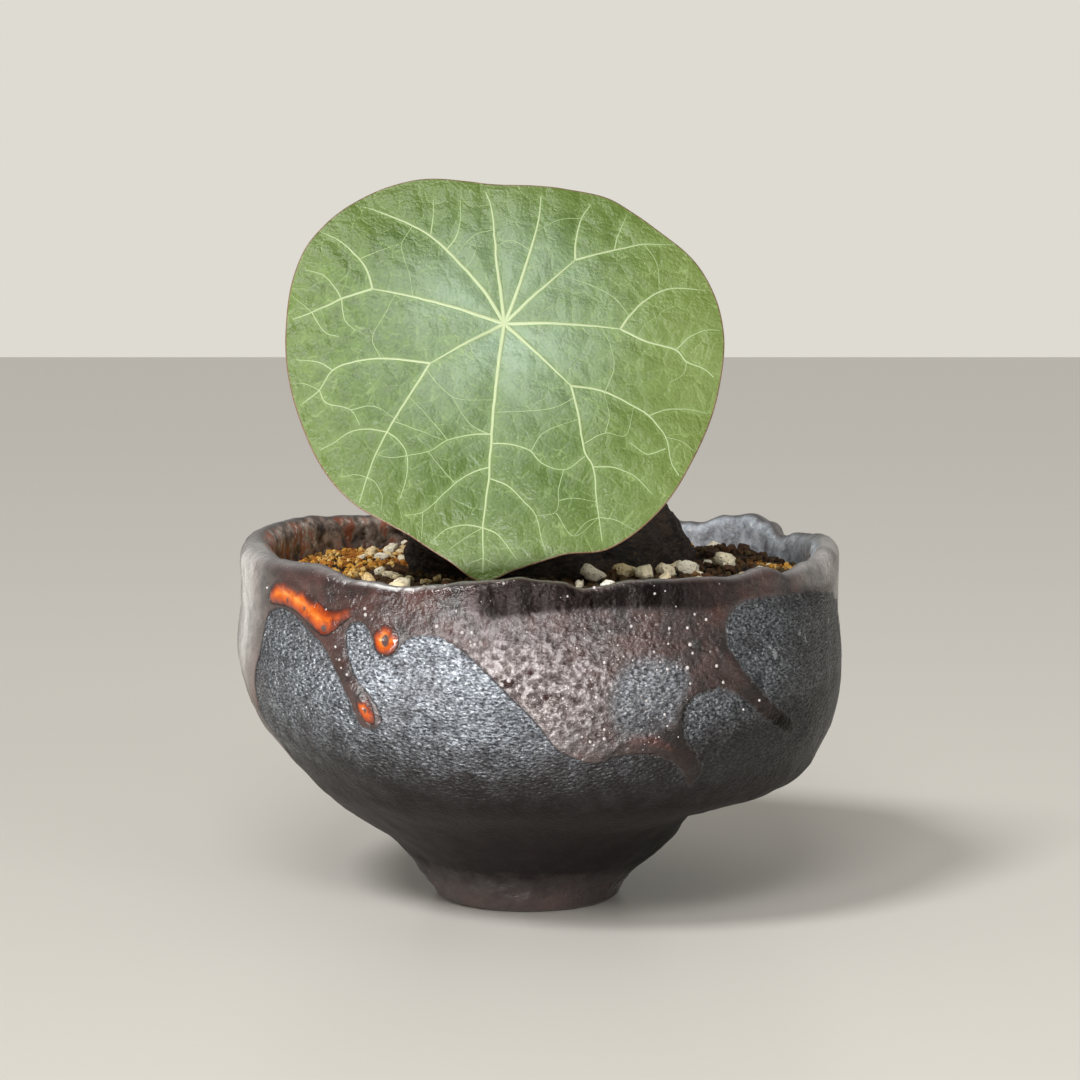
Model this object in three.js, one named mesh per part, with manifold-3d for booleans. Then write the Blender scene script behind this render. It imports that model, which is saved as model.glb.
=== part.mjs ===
// Potted stephania: a dark warty caudex with one round leaf, standing in a hand-formed stoneware bowl.
// Millimetres, +Z up, +X to the right and +Y to the back. The origin is the middle of the underside.
import * as THREE from "three";
import { mergeVertices } from "three/addons/utils/BufferGeometryUtils.js";
import Module from "manifold-3d";

const wasm = await Module();
wasm.setup();

// Driving dimensions
const clearGap = 0.3;            // left between touching pieces
const potColumns = 68;           // facets round the bowl
const wallThickness = 5.5;
const floorHeight = 9.5;         // top of the bowl's inner floor
const floorCornerInset = 0.5;    // how far the flat inner floor stays inside the foot's outer edge
const footBevel = 0.8;
const footRingWidth = 6;
const footRecess = 2.5;          // the foot ring stands this far below the pot's underside
const drainRadius = 5.5;
const soilHeight = 79.4;
const soilMound = 1.6;           // the bed rises this much towards the caudex
const soilRoughness = 0.7;
const bladeThickness = 0.7;
const leafLean = THREE.MathUtils.degToRad(22);
const leafJoint = new THREE.Vector3(-8.3, -36, 143);
const petioleRadius = 1.25;
const petioleFoot = new THREE.Vector3(6.6, 2, 104.8);
const petioleFootRadius = 1.7;
const knobRadius = 2.1;          // knob behind the blade, where the stalk joins
const knobDepth = 1.6;

// The foot stands off the bowl's middle, and its axis runs out to the middle by this height
const footCentre = new THREE.Vector2(-3, -2);
const footCentreFades = 45;

// The bowl's outer radius at these heights, to its four sides
const wallHeights = [0, 5, 10, 16, 20, 24, 30, 38, 48, 60, 74, 90];
const wallRadii = {
  right: [22.5, 25, 30.4, 36, 38, 43, 63.5, 69.5, 73.2, 74.5, 73.2, 73],
  back: [23, 26.5, 31, 38, 43.5, 49.5, 59.5, 67.5, 72.5, 74.5, 74, 73],
  left: [22.5, 26, 29.6, 35.8, 42.7, 48.9, 55.7, 63.5, 71.1, 75, 74, 74],
  front: [23.5, 26.5, 30.3, 37.4, 42.3, 48, 59, 66.8, 71.7, 73.3, 72.3, 71],
};

// Height of the rim's crest and thickness of its lip, round the bowl from +X by way of +Y
const rimCrest = [
  [1, 88.8], [18, 87.6], [26, 85.8], [33, 88.3], [40, 89.7], [47, 88.7], [54, 86.1], [75, 87.4],
  [100, 88.2], [120, 87.6], [135, 88.9], [150, 90], [170, 89.4], [190, 87.8], [222, 87.1],
  [234, 84.9], [244, 84.1], [256, 85.4], [266, 87], [274, 85.9], [278, 84.3], [288, 86],
  [302, 85.8], [309, 85.4], [318, 86.4], [327, 84.3], [335, 85.7], [345, 88.4],
];
const lipThickness = [
  [0, 6.4], [40, 5], [90, 5], [135, 5.6], [165, 7], [190, 8], [215, 6], [240, 4], [270, 3.4],
  [300, 3.6], [325, 4.6], [340, 6.2],
];

// Where the potter's hands pushed the wall out or in: angle, height, push, half-width in degrees and mm
const wallPushes = [
  [207, 62, 1.1, 8, 22],
  [190, 66, -1.2, 9, 24],
  [232, 52, 0.9, 11, 16],
  [277, 79, -1.6, 14, 7],
  [268, 62, 1.0, 16, 12],
  [307, 50, 1.3, 9, 10],
  [322, 66, 1.2, 12, 12],
  [313, 74, -1.0, 6, 12],
  [327, 84, -2.4, 6, 6],
  [343, 84, 1.2, 9, 8],
  [40, 84, 1.4, 12, 10],
  [26, 84, -1.4, 8, 8],
  [95, 58, 1.0, 22, 16],
  [140, 46, -1.0, 14, 16],
];

// The leaf's outline from its joint with the stalk: angle from +X in the blade's plane, and reach
const leafOutline = [
  [0, 51.4], [17, 48.6], [35, 43.2], [53, 40.5], [68, 37], [88, 35.1], [104, 37.4], [120, 42.6],
  [138, 47.6], [158, 51.2], [182, 51.7], [205, 52.9], [228, 55.5], [246, 55.1], [257, 57.6],
  [265, 61.2], [273, 58.6], [284, 57], [294, 58.9], [308, 57.6], [325, 54.3], [344, 52.4],
];

// The leaf's veins in the blade's plane, each from its thick end, with the radii of its two ends
const mainVein = [1.05, 0.7];
const forkVein = [0.72, 0.55];
const sideVein = [0.56, 0.5];
const leafVeins = [
  [mainVein, [0, 0], [-1.8, -14.1], [-2.9, -27], [-3.6, -37.6], [-4.9, -48.7], [-4.9, -59]],
  [mainVein, [0, 0], [6.8, -6.7], [15.6, -15.5]],
  [forkVein, [15.6, -15.5], [17.3, -22.6], [20.6, -34.7], [22, -46.4], [22.9, -53]],
  [forkVein, [15.6, -15.5], [22.2, -16.3], [33.7, -22.1], [38.9, -33.3]],
  [mainVein, [0, 0], [10.3, -0.2], [27.2, -1.3]],
  [forkVein, [27.2, -1.3], [33.6, 6.5], [39.3, 9.2], [47.5, 9.2]],
  [forkVein, [27.2, -1.3], [33.5, -4.3], [40.2, -6], [50, -12.6]],
  [mainVein, [0, 0], [6.1, 6], [16.7, 15.9]],
  [forkVein, [16.7, 15.9], [16.7, 19.7], [20.8, 31.4]],
  [forkVein, [16.7, 15.9], [25.9, 18.6], [39, 20.6]],
  [mainVein, [0, 0], [2.6, 6.7], [7.9, 25], [8.7, 33.4]],
  [mainVein, [0, 0], [-2, 15.7], [-4.6, 33.8]],
  [mainVein, [0, 0], [-9.4, 13.5], [-17.6, 22.1], [-32.6, 30]],
  [mainVein, [0, 0], [-17.1, 5.3], [-31.1, 8.8]],
  [forkVein, [-31.1, 8.8], [-34.3, 16.4], [-43.6, 23.9]],
  [forkVein, [-31.1, 8.8], [-38.4, 6.7], [-50, 2.4]],
  [mainVein, [0, 0], [-9.3, -5.2], [-17.3, -9.9]],
  [forkVein, [-17.3, -9.9], [-28.9, -8.4], [-40.2, -10.9], [-47.8, -19]],
  [forkVein, [-17.3, -9.9], [-27.3, -26.3], [-31.8, -37.1], [-33.7, -43]],
  [sideVein, [-2.9, -27], [-12.7, -28.3], [-22.4, -32.1]],
  [sideVein, [-2.9, -29.3], [5.8, -30.9], [14.1, -35.4], [20.6, -34.7]],
  [sideVein, [-3.6, -35], [-11.9, -38.9], [-19.2, -52]],
  [sideVein, [-3.6, -37.6], [4.1, -42.4], [9.6, -55]],
  [sideVein, [-4.9, -48.7], [1.3, -53.9], [3, -57]],
  [sideVein, [-27.3, -26.3], [-36.5, -26.3], [-43.6, -30.2]],
  [sideVein, [-27.3, -26.3], [-22.5, -32.1], [-24.3, -44.5]],
  [sideVein, [-40.2, -10.9], [-50, -7.4]],
  [sideVein, [-43.3, -15], [-35.8, -20.6], [-27.3, -26.3]],
  [sideVein, [-38.4, 6.7], [-42.7, 12.6], [-48, 14.6]],
  [sideVein, [-38.4, 6.7], [-35, -1.3], [-28.9, -8.4]],
  [sideVein, [-45.4, 3.7], [-41.8, -1.7], [-40.2, -10.9]],
  [sideVein, [40.2, -6], [47, -1.1], [50.6, -0.8]],
  [sideVein, [40.2, -6], [38.4, -14], [33.7, -22.1]],
  [sideVein, [33.7, -22.1], [43.2, -20], [48.6, -20.8]],
  [sideVein, [37.6, -28], [33.3, -31.4], [20.6, -34.7]],
  [sideVein, [20.6, -34.7], [30.5, -37], [35.5, -42.5]],
  [sideVein, [-17.6, 22.1], [-17, 33]],
  [sideVein, [-13.7, 18.5], [-10.6, 25.1], [-10.4, 34]],
];

// Helpers

// Random numbers that come out the same on every run
function seededRandom(seed) {
  let state = seed;
  return () => {
    state = (state + 0x6d2b79f5) | 0;
    let mixed = Math.imul(state ^ (state >>> 15), 1 | state);
    mixed = (mixed + Math.imul(mixed ^ (mixed >>> 7), 61 | mixed)) ^ mixed;
    return ((mixed ^ (mixed >>> 14)) >>> 0) / 4294967296;
  };
}

const smooth = (value) => THREE.MathUtils.smoothstep(value, 0, 1);

const degreesBetween = (a, b) => Math.abs(((a - b + 540) % 360) - 180);

// Value at an angle, eased between the listed angles all the way round
function roundTable(table, degrees) {
  const angle = ((degrees % 360) + 360) % 360;
  let before = [table[table.length - 1][0] - 360, table[table.length - 1][1]];
  for (const entry of [...table, [table[0][0] + 360, table[0][1]]]) {
    if (angle < entry[0]) {
      return before[1] + (entry[1] - before[1]) * smooth((angle - before[0]) / (entry[0] - before[0]));
    }
    before = entry;
  }
  return before[1];
}

// Value on a smooth curve through points that round the circle once
function roundCurve(table, degrees) {
  const count = table.length;
  const at = (i) => {
    const turns = Math.floor(i / count);
    return [table[i - turns * count][0] + 360 * turns, table[i - turns * count][1]];
  };
  const angle = ((degrees % 360) + 360) % 360;
  let i = -1;
  while (at(i + 1)[0] <= angle) i += 1;
  return hermite(at(i - 1), at(i), at(i + 1), at(i + 2), angle);
}

// Cubic through p1 and p2 whose end slopes follow their neighbours
function hermite(p0, p1, p2, p3, x) {
  const span = p2[0] - p1[0];
  const slope1 = ((p2[1] - p0[1]) / (p2[0] - p0[0])) * span;
  const slope2 = ((p3[1] - p1[1]) / (p3[0] - p1[0])) * span;
  const t = (x - p1[0]) / span;
  const t2 = t * t;
  const t3 = t2 * t;
  return (2 * t3 - 3 * t2 + 1) * p1[1] + (t3 - 2 * t2 + t) * slope1
    + (3 * t2 - 2 * t3) * p2[1] + (t3 - t2) * slope2;
}

// Closed shell from rings of points: each ring joins the next, and the last joins the first if looped.
// Otherwise a point closes each end. Crossed splits the four-sided faces along their other diagonal.
function ringShell(rings, { looped = false, crossed = false, startPoint = null, endPoint = null } = {}) {
  const columns = rings[0].length;
  const points = rings.flat();
  const index = [];
  const last = looped ? rings.length : rings.length - 1;
  for (let row = 0; row < last; row += 1) {
    for (let column = 0; column < columns; column += 1) {
      const next = (column + 1) % columns;
      const above = ((row + 1) % rings.length) * columns;
      const a = row * columns + column;
      const b = row * columns + next;
      const c = above + next;
      const d = above + column;
      index.push(...(crossed ? [a, b, d, b, c, d] : [a, b, c, a, c, d]));
    }
  }
  const closeEnd = (point, row, flipped) => {
    points.push(point);
    for (let column = 0; column < columns; column += 1) {
      const a = row * columns + column;
      const b = row * columns + ((column + 1) % columns);
      index.push(...(flipped ? [b, a, points.length - 1] : [a, b, points.length - 1]));
    }
  };
  if (startPoint) closeEnd(startPoint, 0, true);
  if (endPoint) closeEnd(endPoint, rings.length - 1, false);
  const geometry = new THREE.BufferGeometry().setFromPoints(points);
  geometry.setIndex(index);
  return geometry;
}

function toSolid(geometry) {
  const bare = geometry.clone();
  bare.deleteAttribute("normal");
  bare.deleteAttribute("uv");
  const merged = mergeVertices(bare, 1e-4);
  return new wasm.Manifold(new wasm.Mesh({
    numProp: 3,
    vertProperties: new Float32Array(merged.attributes.position.array),
    triVerts: new Uint32Array(merged.index.array),
  }));
}

function toGeometry(solid) {
  const mesh = solid.getMesh();
  const geometry = new THREE.BufferGeometry();
  geometry.setAttribute("position", new THREE.BufferAttribute(mesh.vertProperties, 3));
  geometry.setIndex(new THREE.BufferAttribute(mesh.triVerts, 1));
  geometry.computeVertexNormals();
  return geometry;
}

// The largest of a solid's separate bodies, which drops loose scraps
function mainBody(solid) {
  return solid.decompose().reduce((best, body) => (body.volume() > best.volume() ? body : best));
}

// Tube through centres whose radius changes on its way. One corner of its section looks along outward.
function taperedTube(centres, sides, outward, radiusAt) {
  const last = centres.length - 1;
  const rings = centres.map((centre, i) => {
    const along = centres[Math.min(i + 1, last)].clone().sub(centres[Math.max(i - 1, 0)]).normalize();
    const out = outward.clone().addScaledVector(along, -outward.dot(along)).normalize();
    const across = along.clone().cross(out);
    return Array.from({ length: sides }, (_, side) => {
      const angle = (side / sides) * Math.PI * 2;
      const radius = radiusAt(i / last);
      return centre.clone().addScaledVector(out, radius * Math.cos(angle))
        .addScaledVector(across, radius * Math.sin(angle));
    });
  });
  return ringShell(rings, { startPoint: centres[0].clone(), endPoint: centres[last].clone() });
}

// The bowl

// Outer radius of the bowl's wall, before the potter's pushes, on one side
function sideRadius(radii, height) {
  const count = wallHeights.length;
  let i = 0;
  while (i < count - 2 && wallHeights[i + 1] <= height) i += 1;
  const at = (k) => {
    const clamped = THREE.MathUtils.clamp(k, 0, count - 1);
    return [wallHeights[clamped] + (k - clamped) * 4, radii[clamped]];
  };
  return hermite(at(i - 1), at(i), at(i + 1), at(i + 2), height);
}

function wallRadius(degrees, height) {
  const angle = THREE.MathUtils.degToRad(degrees);
  const cos = Math.cos(angle);
  const sin = Math.sin(angle);
  let radius = cos * cos * sideRadius(cos > 0 ? wallRadii.right : wallRadii.left, height)
    + sin * sin * sideRadius(sin > 0 ? wallRadii.back : wallRadii.front, height);
  for (const [at, level, push, halfAngle, halfHeight] of wallPushes) {
    const across = degreesBetween(degrees, at) / halfAngle;
    const along = (height - level) / halfHeight;
    radius += push * Math.exp(-across * across - along * along);
  }
  return radius;
}

// Point of the bowl at an angle, from a radius about its leaning axis and a height
function bowlPoint(degrees, radius, height) {
  const angle = THREE.MathUtils.degToRad(degrees);
  const shift = 1 - smooth(height / footCentreFades);
  return new THREE.Vector3(
    footCentre.x * shift + radius * Math.cos(angle),
    footCentre.y * shift + radius * Math.sin(angle),
    height,
  );
}

// Radius and height of the wall's inner face, straight across the wall from the outer face at a height
function innerWall(degrees, height, extra = 0) {
  const step = 0.5;
  const slope = (wallRadius(degrees, height + step) - wallRadius(degrees, height - step)) / (2 * step);
  const lipBottom = roundTable(rimCrest, degrees) - roundTable(lipThickness, degrees) / 2;
  const blend = smooth((lipBottom - height) / lipBlend);
  const lip = roundTable(lipThickness, degrees);
  const thickness = lip + (wallThickness - lip) * blend + extra;
  const tilt = blend * slope;
  const length = Math.hypot(1, tilt);
  return [wallRadius(degrees, height) - thickness / length, height + (thickness * tilt) / length];
}

const outerRows = [footBevel, 5, 10, 16, 20, 24, 30, 38, 48, 60, 74];
const innerRows = [79, 64, 48, 36, 28, 21, 15];
const lipSteps = 4;
const lipBlend = 18;             // the lip's thickness changes to the wall's over this height

function potProfile(degrees) {
  const footRadius = wallRadius(degrees, 0);
  const crest = roundTable(rimCrest, degrees);
  const lip = roundTable(lipThickness, degrees) / 2;
  const lipCentre = wallRadius(degrees, crest - lip) - lip;
  const profile = [[footRadius - footBevel, 0]];
  for (const height of outerRows) profile.push([wallRadius(degrees, height), height]);
  for (let i = 0; i <= lipSteps; i += 1) {
    const turn = (i / lipSteps) * Math.PI;
    profile.push([lipCentre + lip * Math.cos(turn), crest - lip + lip * Math.sin(turn)]);
  }
  for (const height of innerRows) profile.push(innerWall(degrees, height));
  profile.push([footRadius - floorCornerInset, floorHeight]);
  profile.push([drainRadius, floorHeight]);
  profile.push([drainRadius, footRecess]);
  profile.push([footRadius - footRingWidth - footBevel, footRecess]);
  profile.push([footRadius - footRingWidth, 0]);
  return profile;
}

// Rings of points from the profiles of all the columns, with one ring for each profile row
function columnRings(profileAt) {
  const profiles = [];
  for (let column = 0; column < potColumns; column += 1) {
    const degrees = (column / potColumns) * 360;
    profiles.push(profileAt(degrees).map(([radius, height]) => bowlPoint(degrees, radius, height)));
  }
  return profiles[0].map((_, row) => profiles.map((profile) => profile[row]));
}

function makePot() {
  return ringShell(columnRings(potProfile), { looped: true });
}

// The net over the drain hole

const netThickness = 1;
const netHoles = 4;
const netPitch = 5.6;
const netBarWidth = 1.7;

function makeDrainMesh() {
  const length = netHoles * netPitch + netBarWidth;
  const bars = [];
  for (let i = 0; i <= netHoles; i += 1) {
    const offset = (i - netHoles / 2) * netPitch;
    bars.push(new THREE.BoxGeometry(length, netBarWidth, netThickness).translate(0, offset, 0));
    bars.push(new THREE.BoxGeometry(netBarWidth, length, netThickness).translate(offset, 0, 0));
  }
  const geometry = toGeometry(wasm.Manifold.union(bars.map(toSolid)));
  return geometry.translate(footCentre.x, footCentre.y, floorHeight + clearGap + netThickness / 2);
}

// The caudex: a flattened swollen base, its left side raised, with warts and cross wrinkles

const caudexCentre = new THREE.Vector3(3, 3, 84);
const caudexHalfWidth = 35.6;
const caudexHalfDepth = 34;
const caudexRise = 23;
const caudexDrop = 21;
const caudexTilt = THREE.MathUtils.degToRad(6);
const caudexColumns = 34;
const caudexRows = 17;
const caudexFlatness = 0.88;     // below 1 the caudex fills out towards a drum
const caudexLobes = [[2, 0.035, 0.7], [5, 0.025, 2.1], [7, 0.015, 1.3]];
const wartHeight = 0.75;
const crownRadius = 5;
const crownRise = 1.6;
const crownAt = new THREE.Vector2(1, -1);
const socketHeight = 9;
const rootCount = 6;
const rootSteps = 5;
const rootTaper = 0.62;
const rootTop = 68;

// Point of the caudex's skin, pushed out by grow
function caudexPoint(around, up, grow) {
  const ring = Math.cos(up);
  const rise = Math.sin(up);
  let spread = Math.pow(ring, caudexFlatness);
  for (const [count, size, turn] of caudexLobes) {
    spread += Math.pow(ring, caudexFlatness) * size * Math.sin(count * around + turn);
  }
  const x = caudexHalfWidth * spread * Math.cos(around);
  const y = caudexHalfDepth * spread * Math.sin(around);
  let z = (rise > 0 ? caudexRise : caudexDrop) * rise * (1 + 0.05 * Math.sin(3 * around + 1) * ring);
  const warts = wartHeight * Math.sin(11 * around + 2 * Math.sin(4 * up))
    * Math.sin(9 * up + 3 * Math.sin(around));
  const crown = Math.hypot(x - crownAt.x, y - crownAt.y) / crownRadius;
  if (rise > 0) z += crownRise * Math.exp(-crown * crown);
  const out = new THREE.Vector3(x / caudexHalfWidth ** 2, y / caudexHalfDepth ** 2, z / caudexRise ** 2);
  out.normalize().multiplyScalar(warts * Math.sqrt(ring) + grow);
  return new THREE.Vector3(x, y, z).add(out).applyAxisAngle(new THREE.Vector3(0, 1, 0), caudexTilt)
    .add(caudexCentre);
}

function caudexBody(grow) {
  const rings = [];
  for (let row = 1; row < caudexRows; row += 1) {
    const up = (row / caudexRows - 0.5) * Math.PI;
    const ring = [];
    for (let column = 0; column < caudexColumns; column += 1) {
      ring.push(caudexPoint((column / caudexColumns) * Math.PI * 2, up, grow));
    }
    rings.push(ring);
  }
  const startPoint = caudexPoint(0, -Math.PI / 2, grow);
  const endPoint = caudexPoint(0, Math.PI / 2, grow);
  return toSolid(ringShell(rings, { startPoint, endPoint }));
}

// The roots leave the underside and run down and outwards through the soil
function caudexRoots(grow) {
  const random = seededRandom(31);
  return Array.from({ length: rootCount }, (_, i) => {
    const around = ((i + 0.4 * random()) / rootCount) * Math.PI * 2;
    const from = new THREE.Vector3(12 * Math.cos(around), 11 * Math.sin(around), rootTop);
    const to = new THREE.Vector3(28 * Math.cos(around + 0.4), 26 * Math.sin(around + 0.4), 40 - 9 * random());
    const bend = from.clone().lerp(to, 0.5).add(new THREE.Vector3(0, 0, -5));
    const middle = new THREE.Vector3(caudexCentre.x, caudexCentre.y, 0);
    const curve = new THREE.CatmullRomCurve3([from, bend, to].map((point) => point.add(middle)));
    const sideways = new THREE.Vector3(-Math.sin(around), Math.cos(around), 0);
    const centres = curve.getSpacedPoints(rootSteps);
    centres[rootSteps].addScaledVector(curve.getTangentAt(1), grow);
    const thick = 2.4 + 1.2 * random();
    return toSolid(taperedTube(centres, 6, sideways, (t) => thick * (1 - rootTaper * t) + grow));
  });
}

// The stalk stands in a plain socket in the crown
function stalkSocket() {
  const radius = petioleFootRadius + clearGap;
  const geometry = new THREE.CylinderGeometry(radius, radius, socketHeight, 12).rotateX(Math.PI / 2);
  geometry.translate(petioleFoot.x, petioleFoot.y, petioleFoot.z + socketHeight / 2 - clearGap);
  return toSolid(geometry);
}

function makeCaudex() {
  const grown = wasm.Manifold.union([caudexBody(0), ...caudexRoots(0)]);
  return toGeometry(mainBody(grown.subtract(stalkSocket())));
}

// The soil: a bed that follows the bowl's inner wall, its top covered with fused grains

const grainCount = 66;
const bigGrainShare = 0.35;
const soilColumns = 52;
const soilPebble = 1.1;          // the bed's own pebbles rise and fall this much
const soilFloorRise = netThickness + 2 * clearGap;
const bedReaches = [80, 80, 66, 59, 52, 45, 38, 30];
const grainInnerReach = 31;
const grainOuterReach = 67;

// The room inside the bowl, clear of its wall
function bowlRoom() {
  const rings = columnRings((degrees) => {
    const crest = roundTable(rimCrest, degrees);
    const lip = roundTable(lipThickness, degrees);
    const rimRadius = wallRadius(degrees, crest - lip / 2) - lip - clearGap;
    const wall = [...innerRows].reverse().map((height) => innerWall(degrees, height, clearGap));
    const corner = wallRadius(degrees, 0) - floorCornerInset - clearGap;
    return [[corner, floorHeight + clearGap], ...wall, [rimRadius, crest - lip / 2]];
  });
  const startPoint = new THREE.Vector3(footCentre.x, footCentre.y, floorHeight + clearGap);
  const endPoint = new THREE.Vector3(0, 0, soilHeight + 12);
  return toSolid(ringShell(rings, { crossed: true, startPoint, endPoint }));
}

function soilTop(x, y) {
  const reach = Math.hypot(x - caudexCentre.x, y - caudexCentre.y);
  const mound = soilMound * Math.exp(-((reach / 46) ** 2));
  const rough = Math.sin(0.31 * x + 1.7 * Math.sin(0.17 * y)) * Math.sin(0.37 * y + 1.3 * Math.sin(0.21 * x));
  return soilHeight + mound + soilRoughness * rough;
}

// The bed as a drum whose upper face follows soilTop and is pebbled where the soil is bare
function soilDrum() {
  const random = seededRandom(5);
  const rings = bedReaches.map((reach, row) => Array.from({ length: soilColumns }, (_, column) => {
    const angle = ((column + 0.5 * (row % 2) + 0.5 * (random() - 0.5)) / soilColumns) * Math.PI * 2;
    const x = reach * Math.cos(angle);
    const y = reach * Math.sin(angle);
    const pebble = row > 1 ? soilPebble * (2 * random() - 1) : 0;
    return new THREE.Vector3(x, y, row === 0 ? floorHeight + soilFloorRise : soilTop(x, y) + pebble);
  }));
  const startPoint = new THREE.Vector3(0, 0, floorHeight + soilFloorRise);
  const endPoint = new THREE.Vector3(0, 0, soilTop(0, 0));
  return toSolid(ringShell(rings, { startPoint, endPoint }));
}

// One grain with few, uneven faces, half sunk in the bed
function grain(random, x, y) {
  const big = random() < bigGrainShare;
  const size = big ? 2.7 + 0.9 * random() : 1.9 + 0.8 * random();
  const geometry = mergeVertices(bareShape(big ? new THREE.IcosahedronGeometry(size, 0)
    : new THREE.OctahedronGeometry(size * 1.15, 0)), 1e-3);
  const position = geometry.attributes.position;
  for (let i = 0; i < position.count; i += 1) {
    const swell = 0.86 + 0.28 * random();
    position.setXYZ(i, position.getX(i) * swell, position.getY(i) * swell, position.getZ(i) * swell);
  }
  geometry.scale(1.15, 0.95, 0.85);
  geometry.rotateX(random() * Math.PI);
  geometry.rotateZ(random() * Math.PI);
  geometry.translate(x, y, soilTop(x, y) + 0.25 * size);
  return toSolid(geometry);
}

function bareShape(geometry) {
  geometry.deleteAttribute("normal");
  geometry.deleteAttribute("uv");
  return geometry;
}

// Grains over the ring between caudex and wall, placed as seeds in a sunflower are
function soilGrains() {
  const random = seededRandom(8);
  const goldenTurn = Math.PI * (3 - Math.sqrt(5));
  return Array.from({ length: grainCount }, (_, i) => {
    const share = (i + 0.5) / grainCount;
    const reach = Math.sqrt(THREE.MathUtils.lerp(grainInnerReach ** 2, grainOuterReach ** 2, share));
    const angle = i * goldenTurn;
    const x = reach * Math.cos(angle) + 1.5 * (random() - 0.5);
    const y = reach * Math.sin(angle) + 1.5 * (random() - 0.5);
    return grain(random, x, y);
  });
}

function makeSoil() {
  const bed = wasm.Manifold.union([soilDrum(), ...soilGrains()]);
  const hollow = wasm.Manifold.union([caudexBody(clearGap), ...caudexRoots(clearGap)]);
  return toGeometry(mainBody(bed.intersect(bowlRoom()).subtract(hollow)));
}

// The leaf: a thin peltate blade that leans back, dips at its joint and bends back at its margin

const bladeAcross = new THREE.Vector3(1, 0, 0);
const bladeUp = new THREE.Vector3(0, Math.sin(leafLean), Math.cos(leafLean));
const bladeOut = new THREE.Vector3(0, -Math.cos(leafLean), Math.sin(leafLean));
const bladeColumns = 48;
const bladeRings = [0.16, 0.56, 1];
const veinProud = 0.15;
const veinStep = 10;

function bladeLift(u, v) {
  const reach = Math.hypot(u, v);
  const turn = Math.atan2(v, u);
  const dip = 1 - Math.exp(-((reach / 7) ** 2));
  const bend = 4 * (reach / 50) ** 2;
  const waves = 0.7 * (reach / 50) ** 2 * (Math.sin(5 * turn + 0.6) + 0.6 * Math.sin(9 * turn + 2.2));
  return dip - bend + waves;
}

// Point of the blade from its place in the leaf's plane, and its distance in front of the middle layer
function bladePoint(u, v, front) {
  return leafJoint.clone().addScaledVector(bladeAcross, u).addScaledVector(bladeUp, v)
    .addScaledVector(bladeOut, bladeLift(u, v) + front);
}

function bladeSheet() {
  const half = bladeThickness / 2;
  const ringAt = (share, front) => Array.from({ length: bladeColumns }, (_, column) => {
    const degrees = (column / bladeColumns) * 360;
    const reach = share * roundCurve(leafOutline, degrees);
    const angle = THREE.MathUtils.degToRad(degrees);
    return bladePoint(reach * Math.cos(angle), reach * Math.sin(angle), front);
  });
  const backRings = bladeRings.map((share) => ringAt(share, -half));
  const frontRings = [...bladeRings].reverse().map((share) => ringAt(share, half));
  const startPoint = bladePoint(0, 0, -half);
  const endPoint = bladePoint(0, 0, half);
  return toSolid(ringShell([...backRings, ...frontRings], { startPoint, endPoint }));
}

// A vein is a slim tapered rib through the blade, a little proud in front and more so behind
function leafVein([[thick, thin], ...route]) {
  const flat = route.map(([u, v]) => new THREE.Vector3(u, v, 0));
  const curve = new THREE.CatmullRomCurve3(flat);
  const steps = Math.max(2, Math.round(curve.getLength() / veinStep));
  const radiusAt = (t) => thick + (thin - thick) * t;
  const centres = curve.getSpacedPoints(steps).map((point, i) => {
    const behind = radiusAt(i / steps) - bladeThickness / 2 - veinProud;
    return bladePoint(point.x, point.y, -behind);
  });
  return toSolid(taperedTube(centres, 4, bladeOut, radiusAt));
}

function makeLeaf() {
  const knob = new THREE.CylinderGeometry(knobRadius + 0.6, knobRadius, knobDepth, 12);
  knob.applyQuaternion(new THREE.Quaternion().setFromUnitVectors(new THREE.Vector3(0, 1, 0), bladeOut));
  const middle = leafJoint.clone().addScaledVector(bladeOut, -knobDepth / 2);
  knob.translate(middle.x, middle.y, middle.z);
  const blade = wasm.Manifold.union([bladeSheet(), toSolid(knob), ...leafVeins.map(leafVein)]);
  return toGeometry(mainBody(blade));
}

// The leaf stalk: it rises from the crown's socket, arches forward and meets the knob square on
function makePetiole() {
  const end = leafJoint.clone().addScaledVector(bladeOut, -knobDepth - clearGap);
  const curve = new THREE.CatmullRomCurve3([
    petioleFoot.clone(),
    petioleFoot.clone().add(new THREE.Vector3(0, 0, 5)),
    new THREE.Vector3(7.4, 2.6, 119),
    new THREE.Vector3(5, 0, 129),
    new THREE.Vector3(-1.5, -9, 136),
    new THREE.Vector3(-6.8, -20, 138),
    end.clone().addScaledVector(bladeOut, -5),
    end,
  ]);
  const flare = (distance) => Math.exp(-((distance / 4) ** 2));
  const length = curve.getLength();
  const radiusAt = (t) => petioleRadius + (petioleFootRadius - petioleRadius) * flare(t * length)
    + (knobRadius - petioleRadius - 0.2) * flare((1 - t) * length);
  return taperedTube(curve.getSpacedPoints(24), 10, bladeAcross, radiusAt);
}

const part = new THREE.Group();

function addPiece(name, geometry, color, roughness, metalness = 0) {
  const solid = new THREE.Mesh(geometry, new THREE.MeshStandardMaterial({ color, roughness, metalness }));
  solid.name = name;
  part.add(solid);
}

addPiece("pot", makePot(), 0x3a3133, 0.32);
addPiece("drain_mesh", makeDrainMesh(), 0x1e2420, 0.6);
addPiece("soil", makeSoil(), 0x7a5a34, 0.95);
addPiece("caudex", makeCaudex(), 0x2e211b, 0.8);
addPiece("petiole", makePetiole(), 0x7f9a5e, 0.5);
addPiece("leaf", makeLeaf(), 0x5f8a4e, 0.45);

export default part;
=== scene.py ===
import math
from functools import partial

import bpy
import numpy as np
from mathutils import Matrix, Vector, noise


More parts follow.
